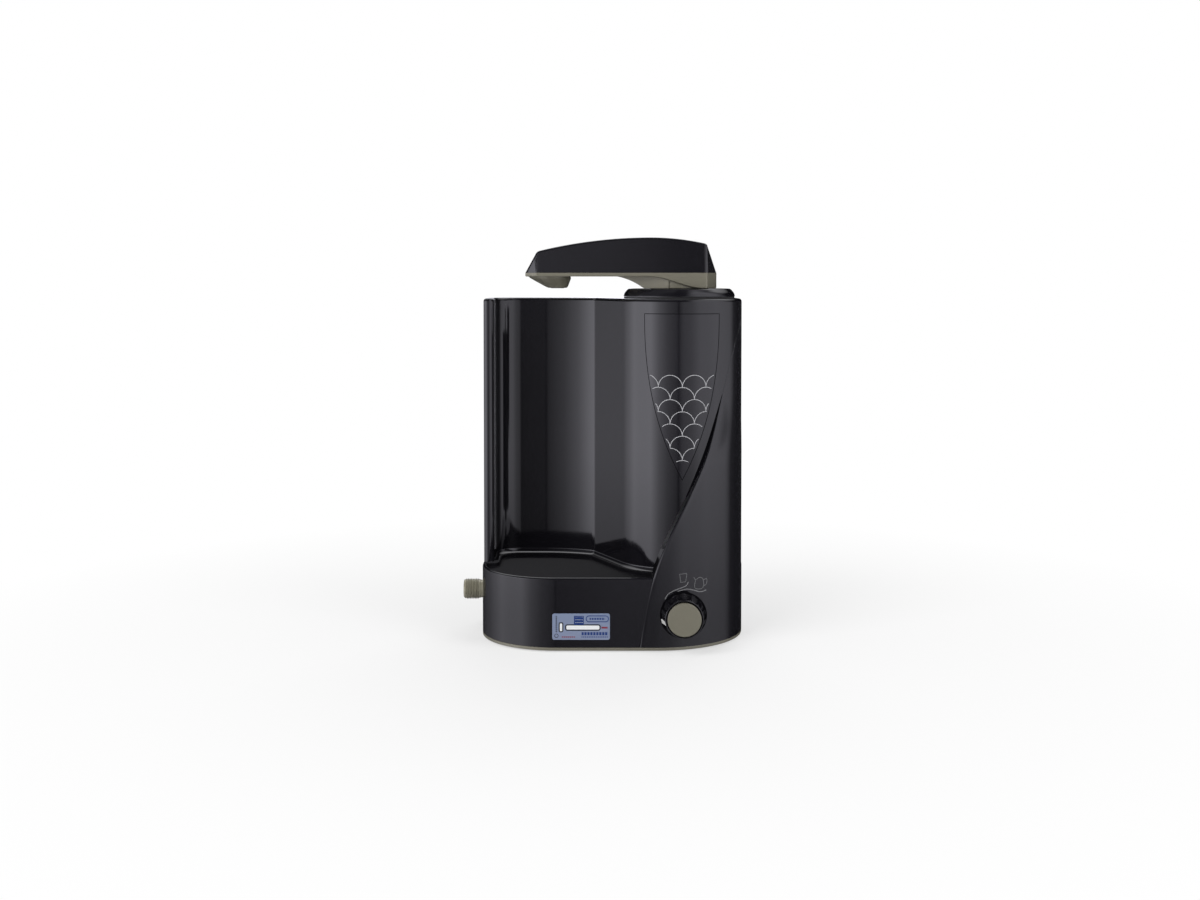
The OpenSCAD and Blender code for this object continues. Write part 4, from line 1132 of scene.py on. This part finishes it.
class PURIFIER_OT_card(bpy.types.Operator):
    """Model the filter-life card on the base's front"""

    bl_idname = "purifier.card"
    bl_label = "Filter-life card"

    corner = 1.6
    edge_round = 0.25

    def execute(self, context):
        card = Piece("life_card", "card_blue")
        levels = [(-CARD_HIGH.y, 0)] + head_round(-CARD_LOW.y, self.edge_round, self.edge_round)
        block(card.mesh, panel_outline(CARD_LOW, CARD_HIGH, self.corner), levels)
        stand_up(card.mesh)
        card.finish("life_card", ["life_indicator"])
        return {"FINISHED"}


class PURIFIER_OT_knob(bpy.types.Operator):
    """Model the fluted knob and its champagne cap"""

    bl_idname = "purifier.knob"
    bl_label = "Knob"

    back = KNOB_HIGH.y
    front = KNOB_LOW.y
    skirt = (KNOB_HIGH.x - KNOB_LOW.x) / 2
    skirt_lip = 1.2
    skirt_top = KNOB_HIGH.y - 2.2
    nose = 14.8
    disc = (KNOB_CAP_HIGH.x - KNOB_CAP_LOW.x) / 2
    disc_crown = 0.25
    disc_back = KNOB_LOW.y + 1
    rim = disc + 0.9
    recess = KNOB_LOW.y + 1.4
    recess_inner = disc - 0.6
    flute_steps = 16
    flute_ring = skirt - 0.2
    flute_limit = nose - 0.55
    pointer_ridge = 7.5
    pointer_width = 3.2
    pointer_thickness = 0.9
    pointer_proud = 0.15
    pointer_round = 0.15
    pointer_front = KNOB_LOW.y + 0.7

    # Inner and outer radius of the dark rings painted as shadow in the gaps, and their place along the axis.
    cap_ring = (disc - 0.1, rim + 0.05, KNOB_LOW.y + 0.6)
    seat_ring = (skirt - 1, skirt + 0.8, BASE_LOW.y - 0.05)

    def execute(self, context):
        fittings = context.scene.purifier_fittings
        pitch = math.tau / fittings.flutes
        knob = Piece("fluted_knob", "shell_gloss", "knob")
        profile = [(self.skirt - self.skirt_lip, self.back), (self.skirt, self.back),
                   (self.skirt, self.skirt_top), (self.nose, self.front), (self.rim, self.front),
                   (self.rim, self.recess), (self.recess_inner, self.recess)]
        turned(knob.mesh, eased(profile, 0.5), KNOB_AXIS, "Y", fittings.flutes * self.flute_steps)
        self.cut_flutes(knob.mesh, pitch, fittings.flute_radius / MM)
        knob.finish("shell", ["knob"], sharp=38, outward=FRONT)

        # Painted shadows: dark rings in the gaps round the cap and round the knob's seat.
        self.gap_ring("cap_gap_ring", "knob", *self.cap_ring)
        self.gap_ring("seat_gap_ring", "root", *self.seat_ring)

        pointer = Piece("white_pointer", "white_plastic", "knob")
        self.painted_ridge(pointer.mesh, pitch)
        pointer.finish("pointer_white", ["knob_pointer"])

        cap = Piece("knob_disc", "trim_champagne", "knob")
        face = KNOB_CAP_LOW.y
        profile = [(0, face), (self.disc, face + self.disc_crown), (self.disc, self.disc_back)]
        turned(cap.mesh, eased(profile, 0.6), KNOB_AXIS, "Y")
        cap.finish("champagne", ["knob_cap"], outward=FRONT)
        return {"FINISHED"}

    def gap_ring(self, name, body, inner, outer, place):
        """A flat dark ring that shows the shadowed gap round a turned piece."""
        ring = Piece(name, "shell_gloss", body)
        turned(ring.mesh, [(inner, place), (outer, place)], KNOB_AXIS, "Y")
        ring.finish("seam", outward=FRONT)

    def painted_ridge(self, mesh, pitch):
        """A thin white plate on the ridge between two flutes, along the knob's slanted side."""
        bmesh.ops.create_cube(mesh, size=1)
        for vert in mesh.verts:
            at_back = vert.co.y > 0
            side = (self.skirt if at_back else self.nose) + self.pointer_proud
            vert.co.x = side + (vert.co.x - 0.5) * self.pointer_thickness
            vert.co.y = self.skirt_top if at_back else self.pointer_front
            vert.co.z *= self.pointer_width
        bmesh.ops.bevel(mesh, geom=mesh.edges[:], offset=self.pointer_round, segments=2, profile=0.5,
                        affect="EDGES", material=-1)
        spin = Matrix.Rotation(-self.pointer_ridge * pitch, 4, "Y")
        place = Matrix.Translation((KNOB_AXIS.x, 0, KNOB_AXIS.z))
        bmesh.ops.transform(mesh, matrix=place @ spin, verts=mesh.verts)

    def cut_flutes(self, mesh, pitch, radius):
        """Moves what lies in a flute in to its round floor; the flutes' middles lie on a ring."""
        reach = self.flute_ring
        for vert in mesh.verts:
            across = vert.co - KNOB_AXIS
            size = math.hypot(across.x, across.z)
            turn = math.atan2(across.z, across.x)
            off = (turn + pitch / 2) % pitch - pitch / 2
            chord = radius ** 2 - (reach * math.sin(off)) ** 2
            if chord <= 0 or size < self.flute_limit:
                continue
            depth = reach * math.cos(off) - math.sqrt(chord)
            if depth < size:
                vert.co.x = KNOB_AXIS.x + depth * math.cos(turn)
                vert.co.z = KNOB_AXIS.z + depth * math.sin(turn)


class PURIFIER_OT_inlet(bpy.types.Operator):
    """Model the threaded inlet nipple"""

    bl_idname = "purifier.inlet"
    bl_label = "Inlet"

    tip = INLET_LOW.x
    chamfer_end = INLET_LOW.x + 0.7
    thread_end = BASE_LOW.x - 2.8
    neck_start = BASE_LOW.x - 2.4
    flange_face = BASE_LOW.x - 0.6
    flange_back = BASE_LOW.x + 1
    centre = (INLET_LOW + INLET_HIGH) / 2
    crest = 8.33
    core = 7.45
    tip_radius = 6.95
    thread_root = 7.25
    bore = 4.83
    neck = 7.2
    flange = 9.6
    run_out = 1.6
    steps = 40

    # Section of one thread: share of the pitch, and radius.
    section = ((0.08, thread_root), (0.4, crest), (0.6, crest), (0.92, thread_root))

    def execute(self, context):
        nipple = Piece("threaded_inlet", "trim_champagne")
        profile = [
            (self.bore, BASE_LOW.x), (self.bore, self.tip), (self.tip_radius, self.tip),
            (self.core, self.chamfer_end), (self.core, self.thread_end), (self.neck, self.neck_start),
            (self.neck, self.flange_face), (self.flange, self.flange_face), (self.flange, self.flange_back),
        ]
        turned(nipple.mesh, eased(profile, 0.25), self.centre, "X", 72)
        self.cut_thread(nipple.mesh, context.scene.purifier_fittings.thread_pitch / MM)
        # The nipple's lighter champagne is painted light.
        nipple.finish("champagne_thread", ["inlet_nipple"], sharp=35)
        return {"FINISHED"}

    def cut_thread(self, mesh, pitch):
        """Winds the thread's section round the core and lets it run out at both ends."""
        older = set(mesh.verts)
        centre = self.centre
        turns = int((self.thread_end - self.tip) / pitch) - 1
        section = [(self.tip + part * pitch, centre.y, centre.z + radius) for part, radius in self.section]
        row = chain(mesh, section)
        bmesh.ops.spin(mesh, geom=row, cent=centre, axis=(1, 0, 0), dvec=(pitch / self.steps, 0, 0),
                       angle=math.tau * turns, steps=turns * self.steps)
        for vert in mesh.verts:
            if vert in older:
                continue
            lead = share(min(vert.co.x - self.tip, self.thread_end - vert.co.x), 0, self.run_out * pitch)
            spoke = vert.co.yz - centre.yz
            size = min(spoke.length, self.thread_root + lead * (self.crest - self.thread_root))
            vert.co.yz = centre.yz + spoke.normalized() * size


class PURIFIER_OT_collar(bpy.types.Operator):
    """Model the filter cap's collar under the spout"""

    bl_idname = "purifier.collar"
    bl_label = "Collar"

    radius = (CAP_HIGH.x - CAP_LOW.x) / 2
    inner = 20
    hub = 12.4
    low = HOUSING_TOP + 1.5
    shoulder = HOUSING_TOP + 4.7
    top = node_box("swivel_washer")[0].z + 1.5
    well_depth = 1.3

    # How far in from the rim the shoulder, the top, the well and its floor start.
    shoulder_inset = 1
    top_inset = 4
    well_inset = 7
    floor_inset = 8

    def execute(self, context):
        collar = Piece("filter_collar", "shell_gloss")
        radius = self.radius
        floor = self.top - self.well_depth
        profile = [(self.inner, self.low), (radius, self.low), (radius - self.shoulder_inset, self.shoulder),
                   (radius - self.top_inset, self.top), (radius - self.well_inset, self.top),
                   (radius - self.floor_inset, floor), (self.hub, floor)]
        turned(collar.mesh, eased(profile, 1.1), COLUMN, "Z", 128)
        collar.finish("shell", ["filter_cap"])
        return {"FINISHED"}


class PURIFIER_OT_spout(bpy.types.Operator):
    """Model the spout's arched cover and its champagne base with the nozzle"""

    bl_idname = "purifier.spout"
    bl_label = "Spout"

    # Places along the arm count from the column's axis.
    apex = -24.5
    tip_arc = 380
    tail_arc = 198
    tip_lean = 30
    tail_lean = 22
    lean_inset = 0.3
    tip_half = 23
    tail_half = 33
    corner = 9
    tail_cut = 21
    slice_width = 3
    tail_margin = 1
    sharp_turn = math.radians(24)
    joint_band = 0.2
    weld = 0.05
    band_foot = SPOUT_LOW.z - 3
    cover_inset = 0.1
    base_inset = 0.25
    base_round = 0.8
    swoosh_from = -26
    swoosh_to = 18
    neck_tip = -52
    neck_root = -29
    neck_end = -10
    neck_half = 14
    neck_end_half = 29
    neck_cuts = 13
    neck_lap = 0.4
    neck_slope = 0.35
    boss = 29.4
    boss_bore = 12.5
    boss_top = SPOUT_LOW.z - 1
    nozzle_place = -106.5
    nozzle_lap = 0.5
    root_height = 2.2
    lip_height = 1.4
    mouth_lift = 0.3
    mouth_depth = 1.8

    # The nozzle's radii from its root down to the mouth and up inside.
    nozzle_radii = (17.6, 16.4, 9.6, 7.6, 6.3, 6, 0)

    def plan(self, mesh, height, inset):
        """The arm's plan, which widens from the tip to the tail and has cut corners."""
        tip = SPOUT_LOW.x + inset
        tail = SPOUT_TAIL - inset
        cut = self.corner

        def half(x):
            part = (x - SPOUT_LOW.x) / (SPOUT_TAIL - SPOUT_LOW.x)
            return self.tip_half + (self.tail_half - self.tip_half) * part - inset

        side = [(x, half(x)) for x in (tip + cut, tail - cut)] + [(tail, half(tail) - self.tail_cut)]
        nose = half(tip) - cut
        return outline(
            mesh, height,
            *[(x, COLUMN.y - width) for x, width in side],
            *[(x, COLUMN.y + width) for x, width in reversed(side)],
            (tip, COLUMN.y + nose),
            (tip, COLUMN.y - nose),
        )

    def top(self, x):
        """Height of the cover's arched top."""
        run = x - COLUMN.x - self.apex
        arc = self.tip_arc if run < 0 else self.tail_arc
        return SPOUT_HIGH.z - arc + math.sqrt(arc ** 2 - run ** 2)

    def underside(self, x):
        """Height of the base's underside, which swings down to the boss."""
        drop = self.band_foot - SPOUT_FOOT
        return self.band_foot - drop * smooth_share(x - COLUMN.x, self.swoosh_from, self.swoosh_to)

    def arm(self, mesh, low, high, inset):
        """The arm between two heights, cut across so that its long faces can follow a curve."""
        block(mesh, self.plan, [(low, inset), (high, inset)])
        x = SPOUT_LOW.x + self.slice_width
        while x < SPOUT_TAIL - self.tail_margin:
            bmesh.ops.bisect_plane(mesh, geom=everything(mesh), plane_co=(x, 0, 0), plane_no=(1, 0, 0))
            x += self.slice_width

    def lean(self, mesh, x, turn, way):
        """Cuts an end off with a plane that leans by these degrees."""
        lean = math.radians(turn)
        bmesh.ops.bisect_plane(mesh, geom=everything(mesh), plane_co=(x, 0, SPOUT_LOW.z), clear_outer=True,
                               plane_no=(way * math.cos(lean), 0, math.sin(lean)))
        bmesh.ops.holes_fill(mesh, edges=[edge for edge in mesh.edges if edge.is_boundary], sides=0)

    def soften(self, mesh, radius, keep):
        """Rounds the sharp edges, but not those with both ends where keep says so."""
        sharp = [edge for edge in mesh.edges if edge.calc_face_angle(0) > self.sharp_turn]
        edges = [edge for edge in sharp if not all(keep(vert.co) for vert in edge.verts)]
        bmesh.ops.bevel(mesh, geom=edges, offset=radius, segments=3, profile=0.5, affect="EDGES", material=-1)

    def execute(self, context):
        fittings = context.scene.purifier_fittings
        self.cover(fittings.spout_round / MM)
        self.base(fittings.nozzle_skew / MM)
        return {"FINISHED"}

    def cover(self, radius):
        """The dark cover with its arched top and leaning ends."""
        cover = Piece("spout_shell", "shell_gloss", "spout")
        mesh = cover.mesh
        self.arm(mesh, SPOUT_LOW.z, SPOUT_HIGH.z, self.cover_inset)
        for vert in mesh.verts:
            if vert.co.z > SPOUT_LOW.z + TOUCH:
                vert.co.z = self.top(vert.co.x)
        bmesh.ops.recalc_face_normals(mesh, faces=mesh.faces)
        self.lean(mesh, SPOUT_LOW.x + self.lean_inset, self.tip_lean, -1)
        self.lean(mesh, SPOUT_TAIL - self.lean_inset, self.tail_lean, 1)
        bmesh.ops.remove_doubles(mesh, verts=mesh.verts, dist=self.weld)
        self.soften(mesh, radius, lambda place: place.z < SPOUT_LOW.z + self.joint_band)
        cover.finish("shell", ["spout_cover"], sharp=34)

    def base(self, skew):
        """The champagne base with its boss, nozzle and neck."""
        base = Piece("spout_underside", "trim_champagne", "spout")
        mesh = base.mesh
        head = SPOUT_LOW.z
        self.arm(mesh, SPOUT_FOOT, head, self.base_inset)
        for vert in mesh.verts:
            if vert.co.z < head - TOUCH:
                vert.co.z = self.underside(vert.co.x)
        bmesh.ops.recalc_face_normals(mesh, faces=mesh.faces)
        self.soften(mesh, self.base_round, lambda place: place.z > head - self.joint_band)
        profile = [(self.boss_bore, SPOUT_FOOT), (self.boss, SPOUT_FOOT), (self.boss, self.boss_top)]
        turned(mesh, eased(profile, 0.7), COLUMN, "Z", 128)
        self.nozzle(mesh, skew)
        self.neck(mesh)
        base.finish("champagne", ["spout_base"], sharp=34)

    def neck(self, mesh):
        """The web that runs from the boss up to the arm's underside."""
        older = set(mesh.verts)
        drop = self.band_foot - SPOUT_FOOT
        ends = [(self.neck_tip, self.neck_half), (self.neck_end, self.neck_end_half)]

        def draw(mesh, height):
            near = [(COLUMN.x + x, COLUMN.y - half) for x, half in ends]
            far = [(COLUMN.x + x, COLUMN.y + half) for x, half in reversed(ends)]
            return outline(mesh, height, *near, *far)

        block(mesh, draw, [(SPOUT_FOOT,), (self.band_foot + self.neck_lap,)])
        for x in spread(self.neck_tip, self.neck_root, self.neck_cuts)[1:]:
            new = [vert for vert in mesh.verts if vert not in older]
            edges = {edge for vert in new for edge in vert.link_edges}
            faces = {face for vert in new for face in vert.link_faces}
            bmesh.ops.bisect_plane(mesh, geom=[*new, *edges, *faces], plane_co=(COLUMN.x + x, 0, 0),
                                   plane_no=(1, 0, 0))
        for vert in mesh.verts:
            if vert not in older and vert.co.z < SPOUT_FOOT + TOUCH:
                part = share(vert.co.x - COLUMN.x, self.neck_tip, self.neck_root)
                curve = self.neck_slope * part + (1 - self.neck_slope) * part ** 2
                vert.co.z = self.band_foot + self.neck_lap / 2 - drop * curve

    def nozzle(self, mesh, skew):
        """A cup under the tip whose mouth sits back from its root."""
        older = set(mesh.verts)
        root = self.band_foot + self.nozzle_lap
        mouth = SPOUT_FOOT + self.mouth_lift
        floor = mouth + self.mouth_depth
        heights = (root, root - self.root_height, mouth + self.lip_height, mouth, mouth, floor, floor)
        profile = list(zip(self.nozzle_radii, heights))
        turned(mesh, eased(profile, 0.8), COLUMN + Vector((self.nozzle_place, 0, 0)), "Z", 72)
        for vert in mesh.verts:
            if vert not in older:
                vert.co.x += skew * share(vert.co.z, root, mouth)


class PURIFIER_OT_inner(bpy.types.Operator):
    """Give every CAD node that stays in view, or inside, its finish"""

    bl_idname = "purifier.inner"
    bl_label = "Inner parts"

    # The other slots have a finish of their own name.
    finishes = {
        "shell_gloss": "shell_fine", "trim_champagne": "champagne",
        "inlay_gloss": "inlay", "card_blue": "life_card",
    }

    # The housing's own walls are left out of reflections, so the filter inside stands for the column there.
    mirrored = ("filter_shell", "filter_lower_cap", "filter_upper_cap")

    def execute(self, context):
        for part in frame["record"]["subparts"]:
            slot_name = part["material_slot"]
            material = bpy.data.materials[self.finishes.get(slot_name, slot_name)]
            node = frame["nodes"][part["node"]]
            node.visible_glossy = part["node"] in self.mirrored
            if not node.material_slots:
                node.data.materials.append(material)
            for slot in node.material_slots:
                slot.material = material
        return {"FINISHED"}


class PURIFIER_OT_finishes(bpy.types.Operator):
    """Make the finishes"""

    bl_idname = "purifier.finishes"
    bl_label = "Finishes"

    def execute(self, context):
        colours = context.scene.purifier_colours
        gloss_plastic("shell", colours.shell, 0.09)
        gloss_plastic("shell_fine", tint(colours.shell, 1.6), 0.2)
        gloss_plastic("inlay", tint(colours.shell, 1.3), 0.12)
        satin_paint("champagne", colours.champagne)
        # A lighter copy of the champagne paint for the inlet nipple, which is painted in the same champagne:
        # painted light.
        satin_paint("champagne_thread", tint(colours.champagne, 1.7))
        silver_ink("silver", colours.silver)
        silver_ink("grey_ink", tint(colours.silver, 0.26))
        silver_ink("flow_ink", tint(colours.silver, 0.4))
        # The darkened shell colour laid in gaps, grooves and slots is painted shade.
        dull_plastic("seam", tint(colours.shell, 0.5), 0.75, 0.04)
        dull_plastic("tray", tint(colours.shell, 0.5), 0.5, 0.1)
        printed_card("life_card", colours)
        moulded("white_plastic", (0.72, 0.72, 0.69), 0.4, 900, 0.0001)
        moulded("pointer_white", (0.86, 0.86, 0.85), 0.3, 1200, 0.0001)
        moulded("rubber", (0.012, 0.012, 0.013), 0.72, 1400, 0.0002)
        moulded("hose", (0.55, 0.6, 0.62), 0.35, 500, 0.0001)
        moulded("ceramic", (0.78, 0.73, 0.63), 0.3, 2400, 0.00005)
        moulded("carbon", (0.016, 0.016, 0.017), 0.85, 700, 0.0008)
        worked_metal("steel", (0.5, 0.51, 0.53), (1, 1, 6))
        worked_metal("brass", (0.5, 0.34, 0.12), (6, 1, 1))
        return {"FINISHED"}


# Light that polished faces reflect: direction round the object in degrees, 0 to the front and
# positive to the right, and its strength.
REFLECTED_LIGHT = (
    (-180, 2.2), (-172, 0.1), (-157, 0.06), (-140, 0.25), (-129, 0.45), (-122, 0.65), (-107, 1.4), (-93, 2.4),
    (-56, 2.9), (-40, 1.5), (-24, 0.75), (-9, 0.4), (-6, 0.35), (-4.4, 0.08), (-1.9, 0.08), (-1.2, 0.38),
    (0, 0.4), (5, 0.65), (20, 0.85), (36, 1.4), (69, 1.5), (88, 1.2), (103, 0.85), (116, 0.1), (130, 0.03),
    (177, 0.03), (180, 2.2),
)
BRIGHTEST = 3
WHITE = (1, 1, 1, 1)
BLACK = (0, 0, 0, 1)

# Name, place, size and power of the lamps.
LAMPS = (
    ("key", (-1.1, -1.2, 1.5), (1.2, 1.2), 26),
    ("fill", (1.3, -0.9, 1.0), (1.0, 1.4), 12),
    ("rim", (0.3, 1.4, 1.3), (1.4, 0.8), 12),
)
LAMP_AIM = Vector((0, 0, 0.15))


class PURIFIER_OT_stage(bpy.types.Operator):
    """Set the floor, the light, the world and the camera"""

    bl_idname = "purifier.stage"
    bl_label = "Stage"

    sensor = 36
    floor_half = 6
    floor_glow = 0.55
    white_from = 0.1
    white_to = 0.6

    def execute(self, context):
        scene = context.scene
        stage = scene.purifier_stage
        self.floor(scene, stage)
        self.world(scene, stage)
        for lamp in LAMPS:
            self.lamp(scene, *lamp)
        data = bpy.data.cameras.new("camera")
        data.lens = stage.camera_lens
        data.sensor_width = self.sensor
        data.shift_y = stage.camera_shift
        camera = bpy.data.objects.new("camera", data)
        camera.location = stage.camera_place
        camera.rotation_euler = (math.radians(90) - stage.camera_dip, 0, 0)
        scene.collection.objects.link(camera)
        scene.camera = camera
        scene.view_settings.view_transform = "Standard"
        return {"FINISHED"}

    def floor(self, scene, stage):
        """A pale floor that fades to white away from the purifier."""
        mesh = bmesh.new()
        bmesh.ops.create_grid(mesh, x_segments=1, y_segments=1, size=self.floor_half)
        data = bpy.data.meshes.new("floor")
        mesh.to_mesh(data)
        mesh.free()
        floor = bpy.data.objects.new("floor", data)
        floor.visible_glossy = False
        scene.collection.objects.link(floor)
        graph = material_graph("floor")
        x, y, _ = graph.split(graph.place())
        fade = (x * x + y * y).root().ramp(self.white_from, self.white_to)
        glow = self.floor_glow + fade * (1 - self.floor_glow)
        pale = graph.add("ShaderNodeBsdfDiffuse", {}, {"Color": tuple(stage.floor_colour)})
        white = graph.add("ShaderNodeEmission", {}, {"Color": WHITE})
        seen = graph.add("ShaderNodeLightPath", {}, {}, "Is Camera Ray")
        shader = graph.add("ShaderNodeMixShader", {}, {0: seen * glow, 1: pale, 2: white})
        graph.add("ShaderNodeOutputMaterial", {}, {"Surface": shader})
        data.materials.append(bpy.data.materials["floor"])

    def world(self, scene, stage):
        """White to the camera, an even light for paint, and a ring of soft lights for polished faces."""
        world = bpy.data.worlds.new("studio")
        world.use_nodes = True
        scene.world = world
        graph = Graph(world.node_tree)
        x, y, z = graph.split(graph.add("ShaderNodeTexCoord", {}, {}, "Generated"))
        turn = x.direction(y * -1) / math.tau + 0.5
        cool = Vector((0.97, 0.96, 1.05)) / BRIGHTEST
        stops = [(degrees / 360 + 0.5, (*(cool * light), 1)) for degrees, light in REFLECTED_LIGHT]
        around = graph.add("ShaderNodeValToRGB", {"stops": stops}, {"Fac": turn})

        # A light high over the back, and dark screens low down, above level behind, and up high on the left.
        overhead = z.ramp(0.4, 0.8) * y.ramp(0.15, 0.35)
        behind = y.ramp(-0.1, 0.4)
        sunk = z.ramp(-0.12, -0.22) * 0.5
        raised = z.ramp(0.02, 0.0914) * behind * 0.95
        ceiling = z.ramp(0.1, 0.35) * x.ramp(0.35, 0.15) * 0.92
        around = graph.mix(sunk.above(raised).above(ceiling), around, BLACK)
        cards = graph.mix(overhead, around, (0.7, 0.7, 0.72, 1))

        ambient = graph.mix(behind * 0.8, WHITE, BLACK)
        path = graph.add("ShaderNodeLightPath", {}, {}).output.node.outputs
        camera = Socket(graph, path["Is Camera Ray"])
        glossy = Socket(graph, path["Is Glossy Ray"])
        even = graph.add("ShaderNodeBackground", {}, {"Color": ambient, "Strength": stage.ambient})
        shown = graph.add("ShaderNodeBackground", {}, {"Color": WHITE, "Strength": 1})
        reflected = graph.add("ShaderNodeBackground", {}, {"Color": cards, "Strength": BRIGHTEST})
        mixed = graph.add("ShaderNodeMixShader", {}, {0: glossy, 1: even, 2: reflected})
        mixed = graph.add("ShaderNodeMixShader", {}, {0: camera, 1: mixed, 2: shown})
        graph.add("ShaderNodeOutputWorld", {}, {"Surface": mixed})

    def lamp(self, scene, name, place, size, power):
        """A soft lamp that points at the purifier and is not seen in its polish."""
        data = bpy.data.lights.new(name, "AREA")
        data.shape = "RECTANGLE"
        data.size, data.size_y = size
        data.energy = power
        lamp = bpy.data.objects.new(name, data)
        lamp.location = place
        lamp.rotation_euler = (LAMP_AIM - Vector(place)).to_track_quat("-Z", "Y").to_euler()
        lamp.visible_glossy = False
        scene.collection.objects.link(lamp)


STEPS = (
    PURIFIER_OT_finishes, PURIFIER_OT_stage, PURIFIER_OT_base, PURIFIER_OT_housing, PURIFIER_OT_rear,
    PURIFIER_OT_cover, PURIFIER_OT_inlay, PURIFIER_OT_prints, PURIFIER_OT_card, PURIFIER_OT_knob,
    PURIFIER_OT_inlet, PURIFIER_OT_collar, PURIFIER_OT_spout, PURIFIER_OT_inner,
)


class PURIFIER_PT_panel(bpy.types.Panel):
    """Lists the steps that build the purifier"""

    bl_label = "Purifier"
    bl_space_type = "VIEW_3D"
    bl_region_type = "UI"
    bl_category = "Purifier"

    def draw(self, context):
        for step in STEPS:
            self.layout.operator(step.bl_idname)


GROUPS = {
    "purifier_shell": PurifierShell,
    "purifier_fittings": PurifierFittings,
    "purifier_colours": PurifierColours,
    "purifier_stage": PurifierStage,
}


def register():
    for name, group in GROUPS.items():
        bpy.utils.register_class(group)
        setattr(bpy.types.Scene, name, bpy.props.PointerProperty(type=group))
    for step in STEPS:
        bpy.utils.register_class(step)
    bpy.utils.register_class(PURIFIER_PT_panel)


def unregister():
    bpy.utils.unregister_class(PURIFIER_PT_panel)
    for step in reversed(STEPS):
        bpy.utils.unregister_class(step)
    for name, group in GROUPS.items():
        delattr(bpy.types.Scene, name)
        bpy.utils.unregister_class(group)


def main():
    """Builds the whole purifier."""
    register()
    for step in STEPS:
        getattr(bpy.ops.purifier, step.bl_idname.split(".")[1])()


if __name__ == "__main__":
    main()
